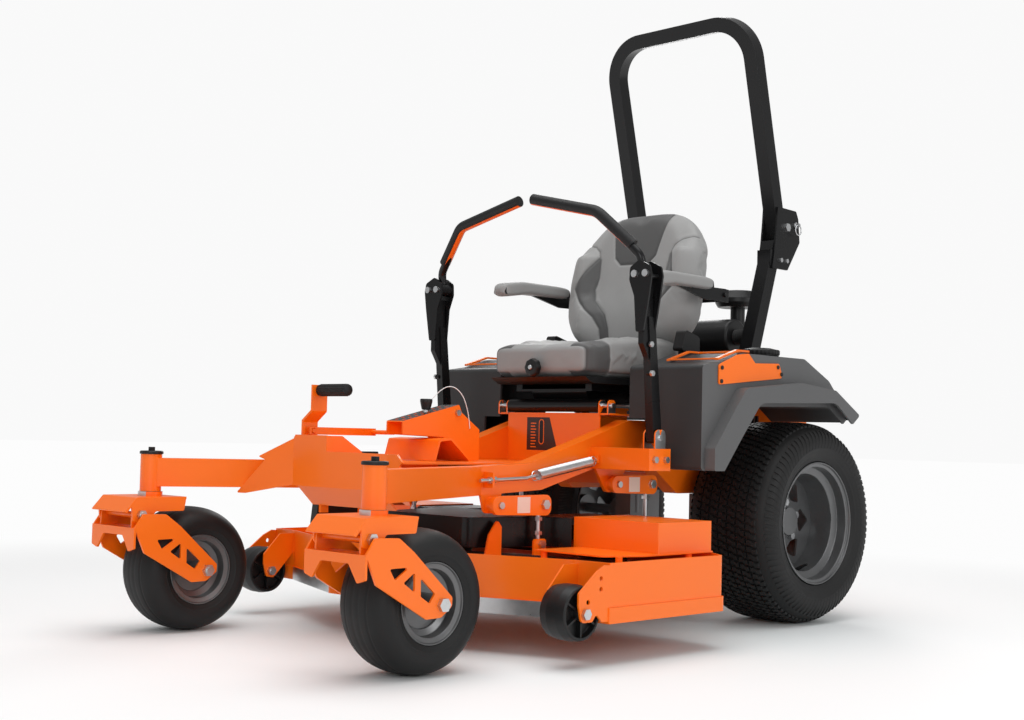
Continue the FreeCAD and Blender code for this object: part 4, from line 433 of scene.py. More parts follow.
# ------------------------------------------------------------ lift springs
# Close-wound zinc-plated wire springs that carry most of the deck's weight.  A loop at the
# front hooks round an eyebolt, and one at the rear round a pin on the rail.
spring_low = Vector((0.262, axle.y - 0.945, 0.436))
spring_high = Vector((0.262, axle.y - 0.712, 0.476))
spring_line = np.array((spring_high - spring_low).normalized())
spring_length = (spring_high - spring_low).length
SPRING_TURNS = 58
SPRING_WIRE_R = 0.00165
SPRING_COIL_R = 0.0132
HOOK_R = 0.0125
HOOK_REACH = 0.012
for side, mark in ((1, "left"), (-1, "right")):
    start = np.array(spring_low) * (side, 1, 1)
    turn = 2 * np.pi * SPRING_TURNS * np.linspace(0, 1, SPRING_TURNS * 12 + 1)[:, None]
    run = HOOK_REACH + np.linspace(0, 1, len(turn))[:, None] * (spring_length - 2 * HOOK_REACH)
    over = np.cross((1.0, 0.0, 0.0), spring_line)
    coil = start + spring_line * run + SPRING_COIL_R * (np.cos(turn) * (1.0, 0.0, 0.0) + np.sin(turn) * over)
    shapes = [(*tube(coil, SPRING_WIRE_R, spring_line, 6), 0)]
    for along, way in ((HOOK_REACH, -1), (spring_length - HOOK_REACH, 1)):
        end = start + spring_line * along
        t = np.linspace(-0.5 * np.pi, 1.05 * np.pi, 26)[:, None]
        ring = HOOK_R * (np.cos(t) * spring_line * way + np.sin(t) * over)
        hook = end + way * spring_line * HOOK_REACH + ring
        hook = np.concatenate([[end - way * spring_line * 0.004 - over * HOOK_R], hook])
        shapes.append((*tube(hook, SPRING_WIRE_R, (1.0, 0.0, 0.0), 8), 0))
    spring = made(mark + "_lift_spring", shapes, (zinc_plate,), "chassis")
    if side > 0:
        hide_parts("lift_springs")


# ------------------------------------------------------------ roll bar
# Black powder-coated square steel tube.  The bent hoop is hinged on the leaning posts
# between two plates, and a ringed pin on each side locks it upright.
ROLL_PIVOT = (0.148, 1.228)
PLATE_BOLTS = ((0.118, 1.120), (0.150, 1.120))


def post_paint(points, outward):
    """Zinc on the pivot bolts outside the hinge plates, and on the plates' two bolts."""
    side = np.abs(points[:, 0])
    pivot = near(points, *ROLL_PIVOT, 0.016) & (np.abs(side - 0.28) > 0.0295)
    bolts = sum(near(points, *bolt, 0.0075) for bolt in PLATE_BOLTS).astype(bool) & (side > 0.3035)
    return (pivot | bolts).astype(int)


eased("rops_posts", "roll_bar_posts", (black_coat, zinc_plate), post_paint, edge=0.0018)
eased("rops_hoop", "roll_bar_hoop", (black_coat,), edge=0.0045)
for mark in ("left", "right"):
    eased(mark + "_rops_pin", mark + "_lock_pin", (zinc_plate,), edge=0.0005)


# ------------------------------------------------------------ rear wheels
# Low wide pneumatic tyres of black rubber with a lawn tread of small jogged blocks and long
# shoulder ribs, on pressed steel rims painted grey, held by five lug nuts.
tyre_rubber = finish("tyre_rubber", (0.0095, 0.0095, 0.0098), 0.55, patches=0.3, patch_size=0.05,
                     grain=0.0012, depth=0.00012, dust=0.015, gloss=0.3)
rim_paint = finish("rim_paint", (0.15, 0.152, 0.155), 0.32, metal=0.6, patches=0.1, patch_size=0.08,
                   grain=0.0012, depth=0.00003)
TYRE_HALF = 0.1475
CROWN_R = 0.2950
WIDEST_R = 0.2340
BEAD_R = 0.1850


def rear_crown(x):
    """Radius of the carcass at x from its middle plane: WIDEST_R plus the rise times
    (1 - |x / half|^4.2)^(1 / 2.2), a flat crown with round shoulders."""
    share = np.clip(np.abs(x) / TYRE_HALF, 0, 1)
    return WIDEST_R + (CROWN_R - WIDEST_R) * (1 - share ** 4.2) ** (1 / 2.2)


def rear_carcass():
    """Closed profile of the carcass: over the crown, down each side to the bead and back
    along the inside, nine millimetres in.  Two thin ridges ring each side wall."""
    t = np.linspace(0, np.pi, 61)
    x = TYRE_HALF * np.sign(np.cos(t)) * np.abs(np.cos(t)) ** 0.55
    crown = np.stack([x, rear_crown(x)], -1)
    s = np.linspace(0, 1, 17)[1:]
    r = WIDEST_R - (WIDEST_R - BEAD_R) * s
    ridges = 0.0016 * (np.exp(-((r - 0.2235) / 0.0016) ** 2) + np.exp(-((r - 0.1985) / 0.0022) ** 2))
    wall = TYRE_HALF - 0.0165 * s ** 1.8 + ridges
    left = np.stack([-wall, r], -1)
    inside_x = (TYRE_HALF - 0.012) * np.cos(np.linspace(np.pi, 0, 31))
    inside = np.stack([inside_x, np.maximum(rear_crown(inside_x * 1.03) - 0.012, BEAD_R + 0.004)], -1)
    return np.concatenate([crown, left, inside, np.stack([wall, r], -1)[::-1]])


def rear_blocks(side):
    """Tread blocks: eight-cornered jogged plates in seven staggered columns.  A corner at (u, v)
    lies at x = u and angle v / radius, 6 mm above the carcass."""
    pitch = 2 * np.pi / 88
    w, h, jog = 0.0142, 0.0072, 0.0042
    corners = np.array([(-w, -h - jog), (-0.003, -h - jog), (0.003, -h + jog), (w, -h + jog),
                        (w, h + jog), (0.003, h + jog), (-0.003, h - jog), (-w, h - jog)])
    columns = np.arange(-3, 4)
    angle = np.arange(88) * pitch
    u = columns[None, :, None] * 0.0318 + corners[None, None, :, 0]
    v = corners[None, None, :, 1] * side
    a = angle[:, None, None] + (columns % 2)[None, :, None] * pitch / 2 + v / 0.298
    u, a = np.broadcast_arrays(u, a)
    low = rear_crown(u) - 0.002
    top = rear_crown(u) + 0.0062
    shrink = 0.93
    middle_u = u.mean(-1, keepdims=True)
    middle_a = a.mean(-1, keepdims=True)
    u2 = middle_u + (u - middle_u) * shrink
    a2 = middle_a + (a - middle_a) * shrink
    base = np.stack([u, low * np.cos(a), low * np.sin(a)], -1)
    lid = np.stack([u2, top * np.cos(a2), top * np.sin(a2)], -1)
    blocks = np.concatenate([base, lid], 2).reshape(-1, 16, 3)
    one = [[i, (i + 1) % 8, (i + 1) % 8 + 8, i + 8] for i in range(8)]
    one += [[8, 9, 14, 15], [9, 10, 13, 14], [10, 11, 12, 13]]
    one += [[0, 1, 6, 7], [1, 2, 5, 6], [2, 3, 4, 5]]
    faces = (np.arange(len(blocks))[:, None, None] * 16 + np.array(one)[None]).reshape(-1, 4)
    return blocks.reshape(-1, 3), faces


def rear_shoulders(side):
    """Shoulder ribs: each a bar of four-cornered sections from the crown's edge down the side
    wall, bending forwards by the square of the way along, its height fading to 1.5 mm."""
    pitch = 2 * np.pi / 88
    s = np.linspace(0, 1, 9)
    t = np.linspace(0.98, 0.0, 9) ** 1.15 * 0.62 + 0.02
    x = TYRE_HALF * np.cos(t) ** 0.55
    r = rear_crown(x) - 0.010 * s ** 3
    x = np.where(s > 0.99, TYRE_HALF - 0.0002, x)
    height = 0.0060 - 0.0046 * s ** 1.5
    half = 0.0062 - 0.0022 * s
    lean = 0.018 * s ** 2
    out_x = np.clip((x / TYRE_HALF) ** 6, 0, 1)
    shapes = []
    for way in (-1, 1):
        a = (np.arange(88) * pitch)[:, None, None] + (pitch / 2 if way > 0 else 0.0)
        v = (lean[None, :, None] * side + half[None, :, None] * np.array([-1.0, -0.8, 0.8, 1.0])) / 0.29
        lift = np.array([-0.002, 1.0, 1.0, -0.002])
        rise = np.where(lift > 0, height[:, None], -0.002)
        radius = (r[:, None] + rise * (1 - 0.8 * out_x[:, None]))[None]
        reach = (x[:, None] + rise * out_x[:, None] * 0.35)[None]
        angle = a + v
        radius, reach, angle = np.broadcast_arrays(radius, reach, angle)
        ribs = np.stack([way * reach, radius * np.cos(angle), radius * np.sin(angle)], -1)
        count = ribs.shape[0]
        one = woven(9, 4, False, True).tolist() + [[0, 1, 2, 3], [32, 33, 34, 35]]
        faces = (np.arange(count)[:, None, None] * 36 + np.array(one)[None]).reshape(-1, 4)
        shapes.append((ribs.reshape(-1, 3), faces))
    return shapes


for side, mark in ((1, "left"), (-1, "right")):
    low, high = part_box(mark + "_rear_tyre")
    middle = np.array((low + high) / 2)
    body = mark + "_wheel"
    shapes = [(*turned(rear_carcass(), middle, "x", 144), 0)]
    for points, faces in [rear_blocks(side), *rear_shoulders(side)]:
        shapes.append((points + middle, faces, 0))
    tyre = made(mark + "_rear_tyre_treaded", shapes, (tyre_rubber,), body)
    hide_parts(mark + "_rear_tyre")
    eased(mark + "_rear_rim", mark + "_rear_rim_painted", (rim_paint, zinc_plate),
          lambda p, n: ((np.abs(p[:, 0]) > 0.4138) & (np.abs(p[:, 0]) < 0.4265) &
                        (np.abs(np.hypot(p[:, 1], p[:, 2] - 0.301) - 0.057) < 0.0125)).astype(int),
          edge=0.0012)
    drum_x = middle[0] + side * 0.055
    stem = np.array([(drum_x, 0, -0.148), (drum_x + side * 0.012, 0, -0.140),
                     (drum_x + side * 0.030, 0, -0.130), (drum_x + side * 0.042, 0, -0.125)])
    stem = stem + (0, middle[1], middle[2])
    made(mark + "_rear_valve", [(*tube(stem, [0.007, 0.006, 0.004, 0.0035], (0, 1, 0), 12), 0)],
         (tyre_rubber,), body)


# ------------------------------------------------------------ casters
# Smooth ribbed front tyres on small steel rims.  Each turns in a pierced orange fork, hung
# under a folded bracket whose kingpin runs up into the arm's head under a black dust cap.
CASTER_X = 0.461
CASTER_AXLE = (-1.5495, 0.165)
CASTER_PIVOT = (-1.743, 0.314)
HEAD_TOP = 0.4702
CASTER_HALF = 0.0825
CASTER_TOP_R = 0.165
CASTER_WIDEST_R = 0.122
CASTER_BEAD_R = 0.094


def caster_profile():
    """Closed profile of the caster tyre: a crown of |x|^2.6 roundness over four shallow
    circumferential grooves, plain side walls with two ridges, and the inside 8 mm in."""
    t = np.linspace(0, np.pi, 97)
    x = CASTER_HALF * np.sign(np.cos(t)) * np.abs(np.cos(t)) ** 0.75
    share = np.clip(np.abs(x) / CASTER_HALF, 0, 1)
    r = CASTER_WIDEST_R + (CASTER_TOP_R - CASTER_WIDEST_R) * (1 - share ** 2.7) ** (1 / 2.1)
    r = r - sum(0.0016 * np.exp(-((x - g) / 0.0016) ** 2) for g in (-0.036, -0.012, 0.012, 0.036))
    s = np.linspace(0, 1, 13)[1:]
    rim_r = CASTER_WIDEST_R - (CASTER_WIDEST_R - CASTER_BEAD_R) * s
    wall = CASTER_HALF - 0.009 * s ** 1.7 + 0.0013 * np.exp(-((rim_r - 0.108) / 0.0014) ** 2)
    inside_x = (CASTER_HALF - 0.010) * np.cos(np.linspace(np.pi, 0, 21))
    inside_r = CASTER_WIDEST_R + 0.034 * (1 - np.abs(inside_x / CASTER_HALF) ** 2.7) ** 0.5 - 0.012
    inside_r = np.maximum(inside_r, CASTER_BEAD_R + 0.003)
    return np.concatenate([np.stack([x, r], -1), np.stack([-wall, rim_r], -1),
                           np.stack([inside_x, inside_r], -1), np.stack([wall, rim_r], -1)[::-1]])


def bracket_paint(points, outward):
    """Black on the dust cap, and zinc on the pivot bolt's ends and on the kingpin."""
    side = np.abs(np.abs(points[:, 0]) - CASTER_X)
    number = np.where(points[:, 2] > HEAD_TOP, 1, 0)
    number = np.where((side > 0.0855) & near(points, *CASTER_PIVOT, 0.0145), 2, number)
    return np.where((points[:, 2] > 0.362) & (points[:, 2] <= HEAD_TOP) & (side < 0.0195), 2, number)


def fork_paint(points, outward):
    """Zinc on the axle: its ends outside the fork's arms, and its shank between them."""
    side = np.abs(np.abs(points[:, 0]) - CASTER_X)
    return ((side > 0.1052) | (near(points, *CASTER_AXLE, 0.010) & (side < 0.0985))).astype(int)


for side, mark in ((1, "left"), (-1, "right")):
    low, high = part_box(mark + "_caster_tyre")
    middle = (low + high) / 2
    tyre = made(mark + "_caster_tyre_smooth", [(*turned(caster_profile(), middle, "x", 112), 0)],
                (tyre_rubber,), mark + "_caster")
    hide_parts(mark + "_caster_tyre")
    eased(mark + "_caster_rim", mark + "_caster_rim_painted", (rim_paint,), edge=0.0008)
    eased(mark + "_caster_bracket", mark + "_swivel_bracket", (orange_coat, black_plastic, zinc_plate),
          bracket_paint, edge=0.0016)
    eased(mark + "_caster_fork", mark + "_fork", (orange_coat, zinc_plate), fork_paint,
          edge=0.0014)


# ------------------------------------------------------------ cutting deck
# Welded steel deck in orange, with black folded covers over the middle belts, orange ones
# over the outer pulleys, and black ribbed rollers that keep its corners off the turf.
ROLLER_AXLE = (-1.190, 0.129)
CHUTE_HINGE_Z = 0.228
CHUTE_ENDS = (-0.960, -0.690)


def deck_paint(points, outward):
    """Zinc on the roller bolts' ends and on the chute's hinge pin at its two ears."""
    side = np.abs(points[:, 0])
    bolts = near(points, *ROLLER_AXLE, 0.0145) & ((side > 0.6682) | (side < 0.5665))
    ears = near(points, CHUTE_ENDS[0], CHUTE_HINGE_Z, 0.02) | near(points, CHUTE_ENDS[1], CHUTE_HINGE_Z, 0.02)
    pin = np.hypot(points[:, 0] + 0.682, points[:, 2] - CHUTE_HINGE_Z) < 0.0065
    return (bolts | (ears & pin & (points[:, 0] < -0.674))).astype(int)


eased("deck_shell", "deck", (orange_coat, zinc_plate), deck_paint, edge=0.0014)
eased("belt_covers", "outer_covers", (orange_coat,), edge=0.0018)
eased("centre_cover", "middle_cover", (black_coat,), edge=0.0015)
eased("discharge_chute", "chute", (black_plastic,), edge=0.0012)
eased("deck_hangers", "hanger_rods", (zinc_plate,), edge=0.0004)
for mark in ("left", "right"):
    eased(mark + "_scalp_wheel", mark + "_roller_wheel", (black_plastic,), edge=0.0009)
cast_grey = finish("cast_aluminium", (0.23, 0.235, 0.24), 0.5, metal=0.75, patches=0.15, patch_size=0.03,
                   grain=0.0012, depth=0.00012)
blade_steel = finish("blade_steel", (0.20, 0.205, 0.21), 0.38, metal=1.0, patches=0.2, patch_size=0.03,
                     grain=0.0008, depth=0.00005)
belt_rubber = finish("belt_rubber", (0.016, 0.015, 0.015), 0.7, patches=0.25, patch_size=0.02,
                     grain=0.0008, depth=0.0001)
for node, coat in (("spindle_housings", cast_grey), ("deck_belt", belt_rubber), ("left_blade", blade_steel),
                   ("centre_blade", blade_steel), ("right_blade", blade_steel)):
    frame["nodes"][node].data.materials.clear()
    frame["nodes"][node].data.materials.append(coat)


# ------------------------------------------------------------ deck lift
# Flat orange arms hang the deck from their rear pins through threaded rods, and a foot
# pedal with a ribbed rubber grip lifts it through a flat link.
for node, name, (y, z), length in (("front_lift_arms", "front_arms_of_lift", FRONT_LIFT_PIN, 0.165),
                                   ("rear_lift_arms", "rear_arms_of_lift", REAR_LIFT_PIN, 0.145)):
    eased(node, name, (orange_coat, zinc_plate),
          lambda p, n, y=y, length=length, z=z: (near(p, y + length, z, 0.0145) & (
              (np.abs(p[:, 0]) > 0.2742) | (np.abs(p[:, 0]) < 0.2618))).astype(int), edge=0.0014)
eased("foot_pedal", "lift_pedal", (orange_coat, black_plastic),
      lambda p, n: (near(p, -1.365, 0.650, 0.0155) & (p[:, 0] > -0.1325)).astype(int), edge=0.0012)
eased("pedal_link", "lift_link", (orange_coat,), edge=0.0008)
grip_start = -0.174 + 0.003 + 0.038
u = np.linspace(0, 1, 25)
t = np.linspace(0, 2 * np.pi, 144, endpoint=False)
ends = 0.0146 * np.ones(25)
ends[[0, -1]] = 0.0110
ribs = ends[:, None] + 0.0010 * (np.cos(18 * t)[None] * ((u > 0.04) & (u < 0.96))[:, None] + 1)
sleeve = np.stack([np.broadcast_to((grip_start + 0.0006 + 0.1184 * u)[:, None], ribs.shape),
                   axle.y - 1.365 + ribs * np.cos(t), 0.650 + ribs * np.sin(t)], -1)
made("pedal_grip_sleeve", [(sleeve, woven(25, 144, False, True).tolist() +
                            [list(range(144)), list(range(24 * 144, 25 * 144))], 0)],
     (tyre_rubber,), "pedal", sharp=60)


# ------------------------------------------------------------ blank films and scales
# Printed polyester films stuck on the arms and the riser.  They are left without any words:
# pale blanks on the lift arms, and a dark scale with plain ticks beside the riser's slot.
pale_film = finish("pale_film", (0.86, 0.66, 0.56), 0.35, patches=0.04, patch_size=0.05,
                   grain=0.0008, depth=0.00001)
dark_film = finish("dark_film", (0.035, 0.012, 0.006), 0.4, patches=0.1, patch_size=0.05,
                   grain=0.0008, depth=0.00001)


def film(outline, low, high, axis):
    """Flat film: an outline of (a, b) points in the plane across the axis, from low to high."""
    outline = np.asarray(outline, float)
    count = len(outline)
    rings = []
    for level in (low, high):
        columns = [outline[:, 0], outline[:, 1]]
        columns.insert({"x": 0, "y": 1}[axis], np.full(count, level))
        rings.append(np.stack(columns, -1))
    faces = [[i, (i + 1) % count, (i + 1) % count + count, i + count] for i in range(count)]
    return np.concatenate(rings), faces + [list(range(count)), list(range(count, 2 * count))]


for side, mark in ((1, "left"), (-1, "right")):
    for node, body, y, z in (("front", "front_lift", -0.997, 0.360), ("rear", "rear_lift", -0.545, 0.410)):
        low, high = sorted((side * 0.27402, side * 0.2744))
        y += axle.y
        made(mark + "_" + node + "_arm_film", [(*film(
            [(y - 0.024, z - 0.021), (y + 0.024, z - 0.021), (y + 0.024, z + 0.021), (y - 0.024, z + 0.021)],
            low, high, "x"), 0)], (pale_film,), body)
front_face = axle.y - 0.600
scale = [(*film([(-0.104, 0.500), (0.022, 0.500), (-0.012, 0.598), (-0.104, 0.598)],
                front_face - 0.0004, front_face - 0.00005, "y"), 0)]
for k in range(9):
    z = 0.508 + 0.0088 * k
    tick_end = -0.070 if k % 2 else -0.066
    tick = [(-0.088, z), (tick_end, z), (tick_end, z + 0.003), (-0.088, z + 0.003)]
    scale.append((*film(tick, front_face - 0.0007, front_face - 0.0004, "y"), 1))
# The orange ring is the riser's coat round its slot, and the black stadium inside it is painted shade for the
# slot's dark inside, drawn flat on the film.
for reach, depth, number in ((0.0105, 0.0007, 1), (0.0078, 0.0010, 2)):
    t = np.linspace(0, np.pi, 9)
    arch = np.concatenate([np.stack([-0.044 + reach * np.cos(t), 0.582 + reach * np.sin(t)], -1),
                           np.stack([-0.044 - reach * np.cos(t), 0.528 - reach * np.sin(t)], -1)])
    scale.append((*film(arch, front_face - depth, front_face - depth + 0.0003, "y"), number))
made("riser_scale", scale, (dark_film, orange_coat, black_plastic), "chassis")


# ------------------------------------------------------------ hand levers and lap bars
# Black coated steel levers on the outriggers.  Each carries a slotted adjuster and a pair of
# clamp plates, and a bent tube with a moulded grip whose underside is orange.
grip_rubber = finish("grip_rubber", (0.007, 0.007, 0.0075), 0.5, patches=0.2, patch_size=0.05,
                     grain=0.0007, depth=0.00008, gloss=0.35)
grip_orange = finish("grip_orange", (0.95, 0.135, 0.004), 0.45, patches=0.05, patch_size=0.05,
                     grain=0.0007, depth=0.00006)


def lever_paint(points, outward):
    """Zinc on the clamp's two studs and on the adjuster's nuts."""
    side = np.abs(points[:, 0])
    studs = (points[:, 1] < -0.7122) & (
        (np.hypot(side - 0.401, points[:, 2] - 0.991) < 0.0105) |
        (np.hypot(side - 0.439, points[:, 2] - 0.991) < 0.0105))
    nuts = (side > 0.4332) & (points[:, 2] > 0.70) & (points[:, 2] < 0.82)
    return np.where(studs | nuts, 1, 0)


def lap_paint(points, outward):
    """Rubber on the grip, orange where it faces down and outwards."""
    side = np.sign(points[:, 0])
    grip = points[:, 2] > 1.0755
    under = outward[:, 0] * side * -0.55 + outward[:, 2] * -0.83
    return np.where(grip, np.where(under > 0.80, 2, 1), 0)


for mark in ("left", "right"):
    eased(mark + "_lever", mark + "_hand_lever", (black_coat, zinc_plate),
          lever_paint, edge=0.0010)
    eased(mark + "_lap_bar", mark + "_lap_tube", (black_coat, grip_rubber, grip_orange),
          lap_paint, edge=0.0010)


# ------------------------------------------------------------ fenders
# Moulded plastic cowls over the rear wheels, dark on top and mid grey on the flared lips,
# each with a black filler cap and an orange badge plate held by four black screws.
fender_dark = finish("fender_dark", (0.033, 0.034, 0.035), 0.5, patches=0.12, patch_size=0.2,
                     grain=0.0011, depth=0.00008, gloss=0.35)
fender_grey = finish("fender_grey", (0.105, 0.106, 0.108), 0.5, patches=0.08, patch_size=0.2,
                     grain=0.0011, depth=0.00008, gloss=0.35)


def fender_paint(points, outward):
    """Black on the filler cap, mid grey outboard of the top's edge, dark elsewhere."""
    side = np.abs(points[:, 0])
    cap = (points[:, 2] > 0.7941) & (np.hypot(side - 0.435, points[:, 1] + 0.170) < 0.0585)
    return np.where(cap, 2, np.where(side > 0.5163, 1, 0))


for mark in ("left", "right"):
    eased(mark + "_fender", mark + "_cowl", (fender_dark, fender_grey, black_plastic),
          fender_paint, edge=0.0035)
eased("badge_plates", "side_plates", (orange_coat, black_plastic),
      lambda p, n: ((np.abs(p[:, 0]) > 0.52505)).astype(int), edge=0.0010)
for side, mark in ((1, "left"), (-1, "right")):
    middle = np.array((side * 0.435, axle.y - 0.170, 0.0))
    t = np.linspace(0, 2 * np.pi, 120, endpoint=False)
    rows = np.array([(0.0570, 0.7975), (0.0585, 0.8000), (0.0585, 0.8100), (0.0565, 0.8128)])
    flutes = rows[:, :1] + 0.0009 * np.cos(30 * t)[None]
    ring = np.stack([flutes * np.cos(t), flutes * np.sin(t), np.broadcast_to(rows[:, 1:], flutes.shape)], -1)
    made(mark + "_cap_rim", [(ring + middle, woven(4, 120, False, True).tolist() +
                              [list(range(120)), list(range(360, 480))], 0)],
         (black_plastic,), "chassis", sharp=30)


# ------------------------------------------------------------ engine and drive
# Air-cooled twin behind the seat, mostly in black: finned cylinders and silencer low down,
# a blower housing with its screen, and a remote air cleaner with a ribbed rubber hose.
engine_black = finish("engine_black", (0.010, 0.010, 0.011), 0.42, metal=0.3, patches=0.25, patch_size=0.08,
                      grain=0.001, depth=0.00008)
eased("engine_block", "engine", (engine_black,), edge=0.0012)
eased("engine_shroud", "blower_housing", (black_plastic,), edge=0.0016)
eased("air_intake", "air_cleaner", (black_plastic,), edge=0.0016)
eased("transaxles", "drive_units", (cast_grey,), edge=0.0014)
control = np.array([(0.112, 0.150, 0.880), (0.200, 0.150, 0.890), (0.235, 0.110, 0.850),
                    (0.215, 0.060, 0.790), (0.125, 0.050, 0.772)])
s = np.linspace(0, 1, 181)[:, None]
path = sum(math.comb(4, k) * s ** k * (1 - s) ** (4 - k) * control[k] for k in range(5)) + (0, axle.y, 0)
hose_radius = 0.0255 + 0.0022 * np.cos(2 * np.pi * 30 * s[:, 0])
made("intake_hose", [(*tube(path, hose_radius, (0, 1, 0.2), 40), 0)], (tyre_rubber,), "chassis")


# ------------------------------------------------------------ seat base
# Moulded pan and folded platform in black.  The knob at the front sets the suspension for
# the operator's weight.
eased("seat_platform", "tilting_platform", (black_coat,), edge=0.0014)
eased("seat_pan", "pan", (black_plastic,), edge=0.0016)
knob_y = axle.y - 0.677
rows = np.array([(-0.0048, 0.0235), (-0.0060, 0.0262), (-0.0160, 0.0262), (-0.0215, 0.0240),
                 (-0.0235, 0.0200), (-0.0235, 0.0105), (-0.0215, 0.0100)])
t = np.linspace(0, 2 * np.pi, 96, endpoint=False)
lobes = rows[:, 1:] * (1 + 0.035 * np.cos(8 * t)[None] * (rows[:, 1:] > 0.019))
knob = np.stack([lobes * np.cos(t), np.broadcast_to(knob_y + rows[:, :1], lobes.shape),
                 0.742 + lobes * np.sin(t)], -1)
bolt = turned([(-0.0212, 0.0), (-0.0212, 0.0072), (-0.0255, 0.0072), (-0.0272, 0.0058), (-0.0272, 0.0)],
              (0, knob_y, 0.742), "y", 24)
stem = turned([(-0.0006, 0.0), (-0.0006, 0.012), (-0.0050, 0.012), (-0.0050, 0.0)],
              (0, knob_y, 0.742), "y", 32)
dial = made("weight_dial", [(knob, woven(7, 96, False, True).tolist() +
                             [list(range(96)), list(range(576, 672))], 0),
                            (*bolt, 1), (*stem, 0)], (black_plastic, zinc_plate), "load_knob")
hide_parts("weight_knob")


# ------------------------------------------------------------ cushions
# Foam cushions in embossed vinyl, light grey with darker inserts, sewn with sunk seams.
# They start a little small and flat and are blown up like a filled cover.
def vinyl(name, light, dark):
    """Two-tone vinyl: the panel attribute picks the darker insert, seams darken a little as painted
    shade in their sunk lines, and a pebble grain one millimetre across is raised from overlapping cells."""
    material = bpy.data.materials.new(name)
    material.use_nodes = True
    tree = material.node_tree
    shader = tree.nodes["Principled BSDF"]
    shader.inputs["Sheen Weight"].default_value = 0.15
    place = tree.nodes.new("ShaderNodeTexCoord")
    cloud = tree.nodes.new("ShaderNodeTexNoise")
    cloud.inputs["Scale"].default_value = 14.0
    cloud.inputs["Detail"].default_value = 6.0
    tree.links.new(place.outputs["Object"], cloud.inputs["Vector"])
    tones = [blended(tree, cloud.outputs["Fac"], tuple(c * 0.9 for c in colour),
                     tuple(c * 1.1 for c in colour)) for colour in (light, dark)]
    panel = tree.nodes.new("ShaderNodeAttribute")
    panel.attribute_name = "panel"
    crisp = ramp(tree, panel.outputs["Fac"], 0.4, 0.6)
    both = blended(tree, crisp.outputs["Result"], *tones)
    # This attribute darkens the colour along the sunk seams: painted shade.
    seam_shade = tree.nodes.new("ShaderNodeAttribute")
    seam_shade.attribute_name = "seam_shade"
    seam_shade_colour = blended(tree, seam_shade.outputs["Fac"], both, tuple(c * 0.6 for c in dark))
    tree.links.new(seam_shade_colour, shader.inputs["Base Color"])
    wear = ramp(tree, cloud.outputs["Fac"], 0.0, 1.0, 0.42, 0.6)
    tree.links.new(wear.outputs["Result"], shader.inputs["Roughness"])
    pebble = tree.nodes.new("ShaderNodeTexVoronoi")
    pebble.inputs["Scale"].default_value = 800.0
    tree.links.new(place.outputs["Object"], pebble.inputs["Vector"])
    bump = tree.nodes.new("ShaderNodeBump")
    bump.inputs["Strength"].default_value = 0.5
    bump.inputs["Distance"].default_value = 0.00025
    tree.links.new(pebble.outputs["Distance"], bump.inputs["Height"])
    tree.links.new(bump.outputs["Normal"], shader.inputs["Normal"])
    return material


seat_vinyl = vinyl("seat_vinyl", (0.255, 0.255, 0.252), (0.06, 0.06, 0.06))


def points_of(mesh):
    """All the mesh's points as one array."""
    spots = np.empty(len(mesh.vertices) * 3)
    mesh.vertices.foreach_get("co", spots)
    return spots.reshape(-1, 3)


def filled(piece, cap, pressure=4.0, voxel=0.006):
    """Even mesh of voxel size over the piece, blown up as cloth for twenty frames, no point
    moving further than cap, then split once more for the seams."""
    even = piece.modifiers.new("even_mesh", "REMESH")
    even.mode = "VOXEL"
    even.voxel_size = voxel
    graph = bpy.context.evaluated_depsgraph_get()
    piece.data = bpy.data.meshes.new_from_object(piece.evaluated_get(graph), depsgraph=graph)
    piece.modifiers.clear()
    rest = points_of(piece.data)
    cover = piece.modifiers.new("filling", "CLOTH")
    cover.settings.use_pressure = True
    cover.settings.uniform_pressure_force = pressure
    cover.settings.effector_weights.gravity = 0
    cover.settings.quality = 5
    cover.settings.tension_stiffness = 15
    cover.settings.compression_stiffness = 15
    cover.settings.bending_stiffness = 1.5
    for step in range(1, 21):
        scene.frame_set(step)
    graph = bpy.context.evaluated_depsgraph_get()
    blown = points_of(piece.evaluated_get(graph).data)
    piece.modifiers.clear()
    scene.frame_set(1)
    move = blown - rest
    length = np.maximum(np.linalg.norm(move, axis=1), 1e-9)[:, None]
    piece.data.vertices.foreach_set("co", (rest + move * np.minimum(1, cap / length)).ravel())
    finer = piece.modifiers.new("finer", "SUBSURF")
    finer.levels = 1
    finer.render_levels = 1
    graph = bpy.context.evaluated_depsgraph_get()
    piece.data = bpy.data.meshes.new_from_object(piece.evaluated_get(graph), depsgraph=graph)
    piece.modifiers.clear()
    piece.data.shade_smooth()


def from_lines(points, lines):
    """Distance from each flat point to the nearest run of the given broken lines."""
    nearest = np.full(len(points), 9.0)
    for line in lines:
        line = np.asarray(line, float)
        for a, b in zip(line[:-1], line[1:]):
            share = np.clip(((points - a) @ (b - a)) / ((b - a) @ (b - a)), 0, 1)[:, None]
            nearest = np.minimum(nearest, np.linalg.norm(points - a - share * (b - a), axis=1))
    return nearest


def within(points, outline):
    """True inside the outline, by counting how often its sides pass a point on the right."""
    inside = np.zeros(len(points), bool)
    outline = np.asarray(outline, float)
    for a, b in zip(outline, np.roll(outline, -1, 0)):
        crosses = (a[1] > points[:, 1]) != (b[1] > points[:, 1])
        reach = (b[0] - a[0]) * (points[:, 1] - a[1]) / (b[1] - a[1] + 1e-12) + a[0]
        inside ^= crosses & (points[:, 0] < reach)
    return inside


